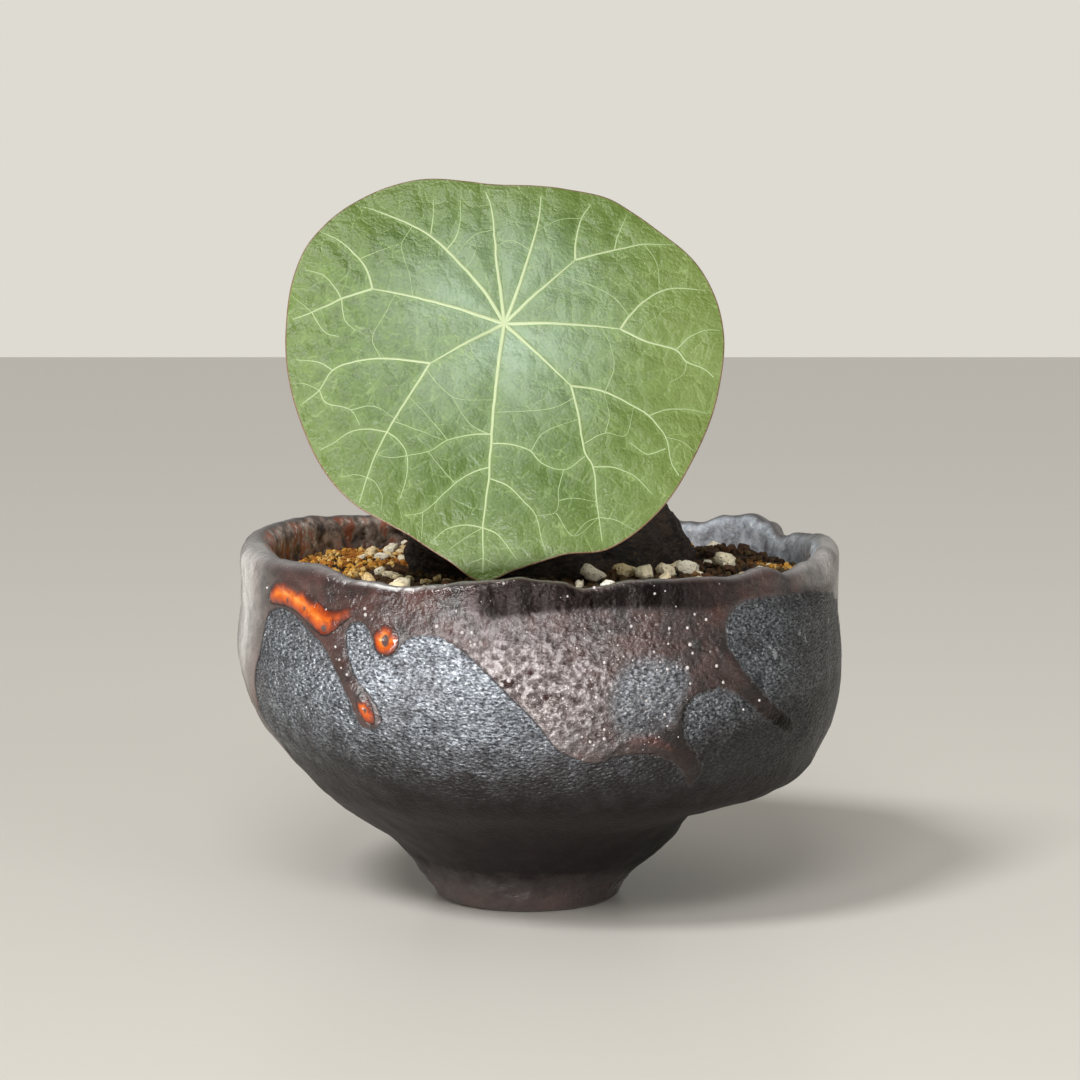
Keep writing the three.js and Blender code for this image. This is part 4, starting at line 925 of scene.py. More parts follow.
# veins in the blade's plane in mm from the joint, by order: their widths at the two ends, then their routes
leafVeins = {
    "main": (1.2, 0.36, [
        [(0, 0), (-1.8, -14.1), (-2.9, -27), (-3.6, -37.6), (-4.9, -48.7), (-4.8, -55.6), (-4.9, -59)],
        [(0, 0), (6.8, -6.7), (15.6, -15.5)],
        [(0, 0), (10.3, -0.2), (19.5, -0.7), (27.2, -1.3)],
        [(0, 0), (6.1, 6), (16.7, 15.9)],
        [(0, 0), (2.6, 6.7), (6.1, 18), (7.9, 25), (8.6, 32.1)],
        [(0, 0), (-0.9, 8.2), (-2, 15.7), (-2.5, 23.5), (-3.5, 30.5), (-4.6, 33.3)],
        [(0, 0), (-4.4, 7.4), (-9.4, 13.5), (-17.6, 22.1), (-25.2, 26.6), (-31.6, 29.6)],
        [(0, 0), (-5.8, 1.9), (-17.1, 5.3), (-27, 7.9), (-31.1, 8.8)],
        [(0, 0), (-9.3, -5.2), (-17.3, -9.9)],
    ]),
    "fork": (0.72, 0.3, [
        [(15.6, -15.5), (17.3, -22.6), (18.7, -31.1), (20.6, -34.7), (21.4, -42.2), (22.7, -51.9)],
        [(15.6, -15.5), (22.2, -16.3), (29.2, -19.4), (33.7, -22.1), (37.6, -27), (38.9, -33.3),
         (40.6, -36.1)],
        [(27.2, -1.3), (29.3, 1.9), (33.6, 6.5), (39.3, 9.2), (45.4, 9.2)],
        [(27.2, -1.3), (33.5, -4.3), (40.2, -6), (42.7, -8.7), (46.9, -10.3), (49, -12.1)],
        [(16.7, 15.9), (16.7, 19.7), (18.2, 26.8), (20.3, 30.4)],
        [(16.7, 15.9), (25.9, 18.6), (33, 20.3), (37.3, 20.4)],
        [(-31.1, 8.8), (-32.1, 12.5), (-34.3, 16.4), (-38.6, 20.9), (-43, 23.5)],
        [(-31.1, 8.8), (-38.4, 6.7), (-45.4, 3.7), (-50, 2.4)],
        [(-17.3, -9.9), (-22.6, -9.1), (-28.9, -8.4), (-35.3, -9), (-40.2, -10.9), (-43.3, -15.6),
         (-47.2, -18.7)],
        [(-17.3, -9.9), (-24.6, -21.7), (-27.3, -26.3), (-30.1, -32.2), (-31.8, -37.1), (-33.5, -43)],
    ]),
    "side": (0.4, 0.2, [
        [(-2.9, -27.1), (-6.4, -27), (-12.7, -28.3), (-17.5, -31.1), (-22.4, -32.1)],
        [(-2.7, -29.3), (1.3, -29.5), (5.8, -30.9), (8.9, -34), (14.1, -35.4), (18.7, -32.3)],
        [(-3.6, -34.8), (-7.1, -35.8), (-11.9, -38.9), (-18.8, -45.1), (-23, -46)],
        [(-3.2, -37.4), (0.6, -39), (4.1, -42.4), (7.2, -45.9), (8.6, -51.4), (9.6, -54.2)],
        [(-4.9, -48.7), (-9.1, -48), (-13.3, -49), (-16.7, -51.7)],
        [(-4.9, -48.7), (-1.5, -50.4), (1.3, -53.9), (3, -56.2)],
        [(-27.3, -26.3), (-32.3, -25.4), (-36.5, -26.3), (-39.6, -28.4), (-42.8, -30)],
        [(-27.3, -26.3), (-24.5, -28.5), (-22.5, -32.1), (-22.7, -37.3), (-24.1, -42.2)],
        [(-40.2, -10.9), (-43.8, -8.7), (-49.1, -7.8)],
        [(-43.3, -15.6), (-41.8, -18.6), (-35.8, -20.6), (-33.7, -24.3)],
        [(-38.4, 6.7), (-40.2, 9.8), (-42.7, 12.6), (-46.7, 14.2)],
        [(-38.4, 6.7), (-37.6, 1.4), (-35, -1.3)],
        [(-45.4, 3.7), (-43.6, 0.6), (-41.8, -1.7), (-38.9, -2.6)],
        [(40.2, -6), (43.4, -2.8), (47, -1.1), (50.6, -0.8)],
        [(33.7, -22.1), (38.3, -20.2), (43.2, -20), (47.5, -20.7)],
        [(37.5, -29.9), (33.3, -31.4), (29.1, -28.7)],
        [(20.6, -34.7), (25.6, -34.8), (30.5, -37), (34.3, -40.9)],
        [(25.9, 18.6), (26.7, 22.3), (28.9, 27.9)],
        [(-17.6, 22.1), (-17, 26.8), (-17, 31.5)],
        [(-13.7, 18.5), (-11.6, 21.2), (-10.6, 25.1), (-10.6, 31.4)],
    ]),
    "twig": (0.24, 0.13, [
        [(-18.8, -45.1), (-19.2, -52)],
        [(-4.9, -48.7), (-9.1, -51.1), (-12.9, -53.8)],
        [(-4.8, -55.6), (-8.4, -56.9)],
        [(-4.8, -55.6), (-1.5, -57.6)],
        [(-31.8, -37.1), (-34.3, -36.5), (-37.8, -36.9)],
        [(-31.8, -37.1), (-30, -38.2), (-28.3, -41.4), (-28.5, -44.9)],
        [(-43.3, -15.6), (-46.5, -14), (-49.4, -13.7)],
        [(-45.4, 3.7), (-47.6, 5.7), (-50.2, 8.1)],
        [(42.7, -8.7), (41.9, -11.7), (38.4, -14)],
        [(37.6, -27), (41.1, -27.9), (44.6, -30.3)],
        [(22, -46.4), (19.3, -47.5), (16.2, -51)],
        [(22, -46.4), (25.6, -47), (30.1, -49.3)],
        [(-9.4, 13.5), (-7.3, 16.5), (-6.6, 18.8)],
        [(-13.2, -28.4), (-16.9, -24), (-22, -18.2)],
        [(-18.1, -11.6), (-15.4, -15.3), (-12.3, -18.3), (-9.6, -19), (-2.2, -18.9)],
        [(-25.7, -23.8), (-20.5, -26), (-14.4, -28.4)],
        [(16.2, -18.4), (12, -20.8), (7.4, -21.7), (-2.2, -21.9)],
        [(6.2, -31.1), (9.2, -26.8), (17.4, -23.4)],
        [(18.4, -29.3), (23.5, -26.8), (28.1, -27.2), (30.2, -20)],
        [(23.5, -26.8), (24.4, -22.4), (23.2, -16.8)],
        [(13.8, -35.4), (12.6, -40.3), (12, -45.5), (7.4, -46.3)],
        [(12.5, -42.8), (16, -42.2), (21.6, -42.8)],
        [(12, -45.7), (16.2, -51), (21.8, -46.6)],
        [(-11.4, -38.4), (-14.4, -35.3), (-17.6, -31.2)],
        [(-2.9, -27.4), (-8, -24.6), (-12.3, -18.3)],
        [(-28.9, -8.4), (-31, -3.4), (-28.4, 1.8), (-25.6, 7.4)],
        [(-22.4, -32.1), (-26, -32.6), (-29.8, -31.6)],
        [(-35.8, -20.6), (-30.6, -20), (-25.6, -23)],
        [(23.4, -16.9), (25.6, -10.8), (24.6, -4.8), (22.6, -1)],
        [(29.3, 1.9), (25.6, 6.4), (19.6, 9.6), (12.8, 11.9)],
        [(-31.6, 29.6), (-33.2, 30.2), (-34.4, 30.3)],
        [(37.3, 20.4), (38.6, 20.4), (40, 20.3)],
        [(45.4, 9.2), (46.6, 9.1), (47.4, 9)],
        [(18.2, 26.8), (13.4, 26.2), (7.2, 22.8)],
        [(6.1, 18), (1.4, 20.6), (-2.2, 19)],
        [(-2.5, 23.5), (-7, 22), (-11.8, 16.6)],
        [(-22, 24.6), (-24.4, 19.4), (-22.6, 12.8), (-21.6, 6.8)],
        [(-34.3, 16.4), (-28.6, 18.6), (-24.2, 20.2)],
        [(33, 20.3), (35.8, 15.6), (36.4, 8.6)],
    ]),
}
bladeAcross = np.array([1.0, 0, 0])
bladeUp = np.array([0, math.sin(math.radians(blade["lean"])), math.cos(math.radians(blade["lean"]))])
bladeOut = np.array([0, -bladeUp[2], bladeUp[1]])
strongRoutes = [np.array(route, float)
                for order in ("main", "fork", "side") for route in leafVeins[order][2]]


def routeDistance(spots, routes):
    return np.min([lineDistance(spots, route) for route in routes], axis=0)


def bladePoint(u, v, front, nearVein):
    # place in the leaf's plane and distance in front of its middle layer, to a point of the blade
    reach, turn = np.hypot(u, v), np.arctan2(v, u)
    lift = 1 - bell(reach, 7) - 4 * (reach / 50) ** 2
    lift = lift + 0.7 * (reach / 50) ** 2 * (np.sin(5 * turn + 0.6) + 0.6 * np.sin(9 * turn + 2.2))
    lift = lift + blade["puff"] * (1 - bell(nearVein, 3.2)) * eased(reach / 12)
    out = lift + front
    return (np.array(blade["joint"]) + np.multiply.outer(u, bladeAcross) + np.multiply.outer(v, bladeUp)
            + np.multiply.outer(out, bladeOut))


def crumpled(u, v, fade=1.0):
    # fine dents, which fade towards the margin, and broad waves
    plan = np.stack([u, v, 0 * u], axis=-1)
    return plan, 0.12 * lumps(plan, 5.5, 21) * fade + 0.25 * lumps(plan, 16, 22, 2)


def makeBlade(material):
    columns, rings = blade["columns"], blade["rings"]
    degrees = np.arange(columns) / columns * 360
    reach = roundCurve(leafOutline, degrees)
    shares = np.concatenate([np.linspace(0.012, 0.97, rings - 5), [0.98, 0.988, 0.994, 0.998, 1.0]])
    u = np.outer(shares, reach * np.cos(np.radians(degrees)))
    v = np.outer(shares, reach * np.sin(np.radians(degrees)))
    nearVein = routeDistance(np.stack([u.ravel(), v.ravel()], axis=1), strongRoutes).reshape(u.shape)
    edge = np.outer(1 - shares, reach)
    half = (blade["edge"] + (blade["thickness"] - blade["edge"]) * eased(edge / 3)) / 2
    half = half * np.sqrt(np.clip(edge / 0.16, 0, 1)) + 1e-3
    plan, crumple = crumpled(u, v, eased(edge / 4))
    front = bladePoint(u, v, half + crumple, nearVein)
    back = bladePoint(u, v, -half + crumple, nearVein)
    zero = np.zeros(1)
    tips = [bladePoint(zero, zero, zero + side * blade["thickness"] / 2, zero)[0] for side in (-1, 1)]
    points = np.vstack([back.reshape(-1, 3), front[::-1].reshape(-1, 3), tips])

    def bothSides(values, tip):
        return np.concatenate([values.ravel(), values[::-1].ravel(), [tip, tip]])

    plan = np.concatenate([plan.reshape(-1, 3), plan[::-1].reshape(-1, 3), [[0, 0, 0]] * 2])
    under = np.concatenate([np.ones(u.size), np.zeros(u.size), [1, 0]])
    values = {"plan": plan, "nearVein": bothSides(nearVein, 0), "edge": bothSides(edge, 50), "under": under}
    return addMesh("leaf_blade", points, cappedFaces(2 * rings, columns), material, values)


def veinTree(material, sizes):
    # runs a round section along each vein, as wide as the vein is at that place
    tree, add, given, result = geometryTree("veins along routes", sizes)
    curves = add("GeometryNodeMeshToCurve", {"Mesh": given["Geometry"]})
    width = add("GeometryNodeInputNamedAttribute", {"Name": "width"}, data_type="FLOAT").outputs["Attribute"]
    radius = add("Math", {0: width, 1: given["Share of width"]}, operation="MULTIPLY")
    upright = add("GeometryNodeSetCurveNormal", {"Curve": curves}, mode="Z_UP")
    section = add("GeometryNodeCurvePrimitiveCircle", {"Resolution": given["Sides"], "Radius": 1})
    tubes = add("GeometryNodeCurveToMesh", {"Curve": upright, "Profile Curve": section.outputs["Curve"],
                                            "Scale": radius, "Fill Caps": True})
    closeTree(add, tubes, True, material, result)
    return tree


def makeVeins(material):
    # the routes are laid out flat, given their width, and bent onto the blade afterwards
    points, edges, widths = [], [], []
    for thick, thin, routes in leafVeins.values():
        for route in routes:
            length = np.sum(np.linalg.norm(np.diff(np.array(route, float), axis=0), axis=1))
            steps = max(4, int(length / 0.8))
            spots, _ = evenPath([(u, v, 0) for u, v in route], steps)
            wobble = np.stack([lumps(spots, 4, 31, 2), lumps(spots, 4, 32, 2), 0 * spots[:, 0]], axis=1)
            spots = spots + 0.16 * wobble * np.sin(np.linspace(0, np.pi, steps + 1))[:, None]
            first = len(points)
            points += spots.tolist()
            edges += [(first + k, first + k + 1) for k in range(steps)]
            widths += (thick + (thin - thick) * np.linspace(0, 1, steps + 1)).tolist()
    mesh = bpy.data.meshes.new("routes")
    mesh.from_pydata(points, edges, [])
    addValues(mesh, {"width": widths})
    sizes = {"Share of width": 0.5, "Sides": 10}
    veins = growPiece("leaf_veins", placeObject("routes", mesh), veinTree(material, sizes), sizes)
    flat = np.array([v.co for v in veins.data.vertices])
    u, v, w = flat.T
    near = routeDistance(flat[:, :2], strongRoutes)
    half = blade["thickness"] / 2
    _, crumple = crumpled(u, v)
    front = np.where(w > 0, (half + 0.3 * w) * eased(w / 0.02), -(half + 1.5 * np.abs(w)) * eased(-w / 0.02))
    placed = bladePoint(u, v, front + crumple, near)
    veins.data.vertices.foreach_set("co", (placed * mm).ravel())
    addValues(veins.data, {"under": w < -0.01, "reach": np.hypot(u, v)})
    veins.data.update()
    return veins


def makeLeafMaterial():
    # Living leaf: a thin waxed cuticle over green cells. It shines softly, with a bluish bloom in broad
    # patches, painted strongest round the middle as a sheen, a paler net of small veins, a yellower margin
    # and a thin purple-brown edge. Its back is dull.
    material, add, shader, _ = newMaterial("waxedLeafBlade")
    plan = add("Attribute", attribute_name="plan").outputs["Vector"]
    value = {name: add("Attribute", attribute_name=name).outputs["Fac"]
             for name in ("nearVein", "edge", "under")}
    axes = add("SeparateXYZ", {0: plan})
    cloud = add("TexNoise", {"Vector": plan, "Scale": 1 / 17, "Detail": 3})
    blotch = add("TexNoise", {"Vector": plan, "Scale": 1 / 4, "Detail": 4, "Roughness": 0.6})
    cells = add("TexNoise", {"Vector": plan, "Scale": 1 / 0.8, "Detail": 2})
    warpNoise = add("TexNoise", {"Vector": plan, "Scale": 1 / 3, "Detail": 2})
    warp = add("VectorMath", {0: warpNoise.outputs["Color"], 3: 0.9}, operation="SCALE")
    warped = add("VectorMath", {0: plan, 1: warp}, operation="ADD")
    # veinlets enclose fields 5 mm and 2 mm across
    net, fineNet = (add("TexVoronoi", {"Vector": warped, "Scale": 1 / across},
                        feature="DISTANCE_TO_EDGE").outputs["Distance"] for across in (5.2, 2.1))

    # it is darker green towards the tip and the upper edge; towards the tip this is painted shade
    lower = add("MapRange", {"Value": axes.outputs["Y"], "From Min": -12, "From Max": -42, "To Max": 0.95})
    upper = add("MapRange", {"Value": axes.outputs["Y"], "From Min": 10, "From Max": 30, "To Max": 0.7})
    greenerAndShaded = add("Math", {0: lower, 1: upper}, operation="MAXIMUM")
    reach = add("VectorMath", {0: plan}, operation="LENGTH").outputs["Value"]
    # painted sheen: the bluish bloom is painted strongest round the middle of the blade
    middle = add("MapRange", {"Value": reach, "From Min": 37, "From Max": 6, "To Max": 0.95})
    bloomAndSheen = add("MapRange", {"Value": cloud, "From Min": 0.38, "From Max": 0.62, "To Min": 0.36})
    bloomAndSheen = add("Math", {0: bloomAndSheen, 1: middle}, operation="MULTIPLY")
    yellow = add("MapRange", {"Value": value["edge"], "From Min": 14, "From Max": 0.5, "To Max": 0.4})
    rightward = add("MapRange", {"Value": axes.outputs["X"], "From Min": 14, "From Max": 44, "To Max": 0.8})
    yellow = add("Math", {0: yellow, 1: rightward}, operation="MAXIMUM")
    halo = add("MapRange", {"Value": value["nearVein"], "From Min": 1.6, "From Max": 0.3, "To Max": 0.3})
    # the veinlets show here and there only
    patchy = add("MapRange", {"Value": warpNoise, "From Min": 0.42, "From Max": 0.62})
    line = add("MapRange", {"Value": net, "From Min": 0.03, "From Max": 0.008, "To Max": 0.32})
    line = add("Math", {0: line, 1: patchy}, operation="MULTIPLY")
    fineLine = add("MapRange", {"Value": fineNet, "From Min": 0.08, "From Max": 0.01, "To Max": 0.05})
    margin = add("MapRange", {"Value": value["edge"], "From Min": 0.4, "From Max": 0.15})
    grain = add("Mix", {0: 0.4, 2: blotch, 3: cells}, data_type="FLOAT")
    top = add("ValToRGB", {"Fac": grain}, [(0.34, "#2f3f16"), (0.5, "#3e5120"), (0.66, "#4f642b")])
    for mask, over in ((greenerAndShaded, "#34480b"), (bloomAndSheen, "#697a65"), (yellow, "#53612a"), (halo, "#5a6e3a"),
                       (line, "#778a54"), (fineLine, "#6f8648")):
        top = add("Mix", {0: mask, 6: top, 7: over}, data_type="RGBA")
    back = add("Mix", {0: blotch, 6: "#8da67c", 7: "#a9bd93"}, data_type="RGBA")
    back = add("Mix", {0: fineLine, 6: back, 7: "#c0cfa6"}, data_type="RGBA")
    colour = add("Mix", {0: value["under"], 6: top, 7: back}, data_type="RGBA")
    colour = add("Mix", {0: margin, 6: colour, 7: "#5f4534"}, data_type="RGBA")

    rough = add("MapRange", {"Value": blotch, "From Min": 0.3, "From Max": 0.7, "To Min": 0.34,
                             "To Max": 0.46})
    rough = add("Math", {0: value["under"], 1: 0.25, 2: rough}, operation="MULTIPLY_ADD")
    # the skin puffs up between the veinlets
    puff = add("MapRange", {"Value": net, "From Max": 0.3})
    relief = add("Math", {0: blotch, 1: 0.8}, operation="MULTIPLY")
    for part, much in ((puff, 0.7), (cells, 0.9)):
        relief = add("Math", {0: part, 1: much, 2: relief}, operation="MULTIPLY_ADD")
    bump = add("Bump", {"Height": relief, "Distance": 0.25 * mm, "Strength": 1})
    fillSockets(shader, {"Base Color": colour, "Roughness": rough, "Specular IOR Level": 0.42,
                         "Normal": bump})
    return material


def makeVeinMaterial():
    # Leaf vein: smooth pale fibre under the same waxed skin, greener as it thins out
    material, add, shader, _ = newMaterial("paleLeafVein")
    value = {name: add("Attribute", attribute_name=name).outputs["Fac"]
             for name in ("reach", "under", "width")}
    far = add("MapRange", {"Value": value["reach"], "From Min": 5, "From Max": 55})
    thin = add("MapRange", {"Value": value["width"], "From Min": 0.5, "From Max": 0.15, "To Max": 0.75})
    colour = "#85906c"
    for mask, over in ((far, "#7a865f"), (thin, "#6d7f54"), (value["under"], "#b7c796")):
        colour = add("Mix", {0: mask, 6: colour, 7: over}, data_type="RGBA")
    fillSockets(shader, {"Base Color": colour, "Roughness": 0.45})
    return material


leaf = makeBlade(makeLeafMaterial())
veins = makeVeins(makeVeinMaterial())
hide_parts("leaf")
for piece in (leaf, veins):
    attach(piece, "root")
print("leaf ready:", len(leaf.data.polygons), "and", len(veins.data.polygons), "faces")


# The stalk: it rises from the caudex's crown, arches forward and meets the knob behind the blade

stalk = {
    "foot": (6.6, 2, 104.8),
    "through": [(7.4, 2.6, 119), (5, 0, 129), (-1.5, -9, 136), (-6.8, -20, 138)],
    "radius": 1.25,
    "footRadius": 1.7,
    "steps": 110,
    "sides": 18,
}


def makeStalk(material):
    joint = np.array(blade["joint"]) - (blade["knobDepth"] + 0.3) * bladeOut
    foot = np.array(stalk["foot"])
    sides, radius = stalk["sides"], stalk["radius"]
    route = [foot, foot + [0, 0, 5], *stalk["through"], joint - 5 * bladeOut, joint]
    centres, length = evenPath(route, stalk["steps"])
    centres = np.vstack([centres, centres[-1] + bladeOut * 0.5])
    along = np.concatenate([np.linspace(0, length, stalk["steps"] + 1), [length + 0.5]])
    radii = (radius + (stalk["footRadius"] - radius) * bell(along, 4)
             + (blade["knobRadius"] - 0.2 - radius) * bell(length - along, 4))
    rings = ringTube(centres, sides, bladeAcross, radii)
    # faint ribs run along the stalk
    turn = np.arange(sides) / sides * 2 * np.pi
    rings = centres[:, None] + (rings - centres[:, None]) * (1 + 0.03 * np.cos(6 * turn))[None, :, None]
    points = np.vstack([rings.reshape(-1, 3), centres[:1], centres[-1:]])
    distance = np.concatenate([np.repeat(along, sides), [0, length]])
    return addMesh("leaf_stalk", points, cappedFaces(len(centres), sides), material, {"along": distance})


def makeKnob(material):
    # the thickened end of the stalk, grown into the blade's back
    sides, rings = 24, []
    turn = np.arange(sides) / sides * 2 * np.pi
    circle = np.outer(np.cos(turn), bladeAcross) + np.outer(np.sin(turn), bladeUp)
    for back, radius in blade["knobRings"]:
        rings.append(np.array(blade["joint"]) - bladeOut * (back + 0.3) + radius * circle)
    ends = [np.mean(rings[0], axis=0), np.mean(rings[-1], axis=0) - bladeOut * 0.1]
    points = np.vstack([*rings, ends])
    # green all over, as the far end of the stalk is
    values = {"along": np.full(len(points), 60)}
    return addMesh("leaf_knob", points, cappedFaces(len(rings), sides), material, values)


def makeStalkMaterial():
    # Leaf stalk: a smooth waxy herb stem, green, with a flush of brown red near the caudex
    material, add, shader, spot = newMaterial("waxyStem")
    along = add("Attribute", attribute_name="along").outputs["Fac"]
    streak = add("VectorMath", {0: spot, 1: (1, 1, 0.15)}, operation="MULTIPLY")
    streak = add("TexNoise", {"Vector": streak, "Scale": 1 / 0.7, "Detail": 3})
    green = add("Mix", {0: streak, 6: "#7f9a58", 7: "#a9bd7e"}, data_type="RGBA")
    flush = add("MapRange", {"Value": along, "From Min": 16, "From Max": 1, "To Max": 0.85})
    colour = add("Mix", {0: flush, 6: green, 7: "#7c5140"}, data_type="RGBA")
    bump = add("Bump", {"Height": streak, "Distance": 0.1 * mm, "Strength": 0.6})
    fillSockets(shader, {"Base Color": colour, "Roughness": 0.42, "Normal": bump})
    return material


stemMaterial = makeStalkMaterial()
leafStalk, knob = makeStalk(stemMaterial), makeKnob(stemMaterial)
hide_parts("petiole")
for piece, slot in ((leafStalk, "leaf_stalk"), (knob, "leaf_green")):
    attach(piece, "root")
print("stalk ready")


# The caudex: a flattened swollen base, its left side raised, with warts, wrinkles and cracked cork

caudex = {
    "centre": (1.6, 3, 84),
    "halfWidth": 34.2,
    "halfDepth": 34,
    "rise": 23,
    "drop": 21,
    "tilt": 6,
    "flatness": 0.88,
    "lobes": [(2, 0.035, 0.7), (5, 0.025, 2.1), (7, 0.015, 1.3)],
    "wart": 0.75,
    "crown": (2.4, -1),
    "crownRadius": 5,
    "crownRise": 1.6,
    "columns": 260,
    "rows": 130,
    "roots": 6,
    "rootSeed": 31,
}


def caudexPoint(around, up):
    ring, rise = np.cos(up), np.sin(up)
    lobed = sum(share * np.sin(count * around + turn) for count, share, turn in caudex["lobes"])
    spread = ring ** caudex["flatness"] * (1 + lobed)
    x = caudex["halfWidth"] * spread * np.cos(around)
    y = caudex["halfDepth"] * spread * np.sin(around)
    z = np.where(rise > 0, caudex["rise"], caudex["drop"]) * rise
    z = z * (1 + 0.05 * np.sin(3 * around + 1) * ring)
    crown = np.hypot(x - caudex["crown"][0], y - caudex["crown"][1])
    z = z + np.where(rise > 0, caudex["crownRise"] * bell(crown, caudex["crownRadius"]), 0)
    warts = caudex["wart"] * np.sin(11 * around + 2 * np.sin(4 * up)) * np.sin(9 * up + 3 * np.sin(around))
    out = np.stack([x / caudex["halfWidth"]**2, y / caudex["halfDepth"]**2, z / caudex["rise"]**2], axis=-1)
    out /= np.linalg.norm(out, axis=-1)[..., None] + 1e-12
    place = np.stack([x, y, z], axis=-1)
    # cork: blisters, and cracks that run round the body
    cork = 0.5 * lumps(place, 4.5, 41) + 0.3 * lumps(place * [1, 1, 2.4], 3, 42, 2)
    cracks = np.abs(lumps(place * [0.7, 0.7, 1.8], 7, 43, 3))
    cork = cork - 0.55 * bell(cracks, 0.06) + 0.5 * lumps(place * [1, 1, 0.35], 4, 44, 2)
    place = place + out * (warts * np.sqrt(ring) + cork)[..., None]
    angle = math.radians(caudex["tilt"])
    turned = np.stack([place[..., 0] * math.cos(angle) + place[..., 2] * math.sin(angle), place[..., 1],
                       -place[..., 0] * math.sin(angle) + place[..., 2] * math.cos(angle)], axis=-1)
    return turned + np.array(caudex["centre"]), cracks


def makeCaudex(material):
    columns, rows = caudex["columns"], caudex["rows"]
    around = np.arange(columns)[None, :] / columns * 2 * np.pi + np.zeros((rows - 1, 1))
    up = (np.arange(1, rows)[:, None] / rows - 0.5) * np.pi + np.zeros((1, columns))
    body, cracks = caudexPoint(around, up)
    ends, _ = caudexPoint(np.zeros(2), np.array([-0.4999, 0.4999]) * np.pi)
    points = [body.reshape(-1, 3), ends]
    faces = cappedFaces(rows - 1, columns)
    values = [cracks.ravel(), [0.5, 0.5]]
    total = cracks.size + 2
    # the roots run down and outwards through the soil
    draw = np.random.default_rng(caudex["rootSeed"])
    middle = np.array([caudex["centre"][0], caudex["centre"][1], 0])
    steps, sides = 14, 10
    for i in range(caudex["roots"]):
        turn = (i + 0.4 * draw.random()) / caudex["roots"] * 2 * np.pi
        start = np.array([12 * math.cos(turn), 11 * math.sin(turn), 68])
        end = np.array([28 * math.cos(turn + 0.4), 26 * math.sin(turn + 0.4), 40 - 9 * draw.random()])
        centres, _ = evenPath(np.array([start, (start + end) / 2 - [0, 0, 5], end]) + middle, steps)
        thick = 2.4 + 1.2 * draw.random()
        sideways = np.array([-math.sin(turn), math.cos(turn), 0])
        rings = ringTube(centres, sides, sideways, thick * (1 - 0.62 * np.linspace(0, 1, steps + 1)))
        points += [rings.reshape(-1, 3), centres[:1], centres[-1:]]
        faces += [[total + k for k in face] for face in cappedFaces(steps + 1, sides)]
        count = (steps + 1) * sides + 2
        values.append(np.full(count, 0.5))
        total += count
    return addMesh("caudex_body", np.vstack(points), faces, material, {"cracks": np.concatenate(values)})


def makeCorkMaterial():
    # Corky bark: dead cells in thin layers, near black and quite dull, browner where the light wears it
    material, add, shader, spot = newMaterial("corkyBark")
    cracks = add("Attribute", attribute_name="cracks").outputs["Fac"]
    flat = add("VectorMath", {0: spot, 1: (1, 1, 2.2)}, operation="MULTIPLY")
    coarse = add("TexNoise", {"Vector": spot, "Scale": 1 / 9, "Detail": 4})
    fine = add("TexNoise", {"Vector": flat, "Scale": 1 / 1.3, "Detail": 4, "Roughness": 0.65})
    flakes = add("TexVoronoi", {"Vector": flat, "Scale": 1 / 2.4}, feature="DISTANCE_TO_EDGE")
    worn = add("MapRange", {"Value": coarse, "From Min": 0.42, "From Max": 0.66, "To Max": 0.6})
    deep = add("MapRange", {"Value": cracks, "From Min": 0.12, "From Max": 0.03, "To Max": 0.8})
    colour = add("ValToRGB", {"Fac": fine},
                 [(0.36, "#070504"), (0.5, "#1b130e"), (0.62, "#42301f"), (0.78, "#75583a")])
    for mask, over in ((worn, "#46342a"), (deep, "#080605")):
        colour = add("Mix", {0: mask, 6: colour, 7: over}, data_type="RGBA")
    height = add("Math", {0: flakes.outputs["Distance"], 1: 1.4, 2: fine}, operation="MULTIPLY_ADD")
    bump = add("Bump", {"Height": height, "Distance": 0.5 * mm, "Strength": 0.9})
    fillSockets(shader, {"Base Color": colour, "Roughness": 0.78, "Normal": bump})
    return material


swollenStem = makeCaudex(makeCorkMaterial())
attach(swollenStem, "root")
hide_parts("caudex")
print("caudex ready:", len(swollenStem.data.polygons), "faces")


# The soil: a bed of dark earth against the bowl's inner wall, with akadama grains, pumice and bark on it

soil = {
    "height": 79.4,
    "mound": 1.6,
    "rough": 0.7,
    "columns": 220,
    "topRings": 46,
    "gap": 0.3,
    "bottom": 11.1,
    "sideLevels": (15, 21, 28, 36, 48, 60, 68, 74),
    "innermost": 24,              # the top reaches in under the caudex to this distance
}
akadama = {"Spacing": 1.45 * mm, "Grain size": 1.65 * mm, "Least": 0.6, "Most": 1.2, "Unevenness": 1.0,
           "Lift": 0.45 * mm, "Seed": 4}
pumice = {"Grain size": 1.0 * mm, "Least": 0.95, "Most": 1.05, "Unevenness": 0.75, "Lift": 0.0, "Seed": 9}
barkChips = {"Grain size": 1.0 * mm, "Least": 0.9, "Most": 1.1, "Unevenness": 0.6, "Lift": 0.0, "Seed": 12}
# places and lengths in mm: the listed pumice near the leaf, then how much more is strewn
laidPumice = [
    (-38.2, 27.9, 4.4), (-35, 30.6, 3.4), (-40, 16.6, 3.3), (-38, 18.4, 2.8), (-44.8, 17.2, 2.5),
    (-43, 24.4, 3.9), (-35.5, 23.1, 2.4), (-34.6, 12.2, 2.4), (-34.8, -7.8, 3.1), (-38.4, -24.7, 3.6),
    (-36, -26.1, 3.2), (-34, -29, 3.1), (-31.1, -27.8, 2.8), (-27.1, -33, 3), (-24.4, -30.6, 3),
    (-40.8, -31, 3.4), (-22, -33.6, 2.4), (9.2, -43.6, 3.4), (12.5, -38.1, 5.2), (20.2, -31.5, 4.8),
    (24.6, -33.4, 5.4), (30.2, -28, 4.9), (35.2, -25, 5.3), (29.5, -36.5, 3), (38.9, -26, 3),
    (45.3, -10, 6.2), (41.3, -3.2, 2.6), (53.1, -14.5, 3.2), (49.5, -24.3, 4.2), (56.7, 3.6, 2.3),
    (4, -48, 3.2),
]
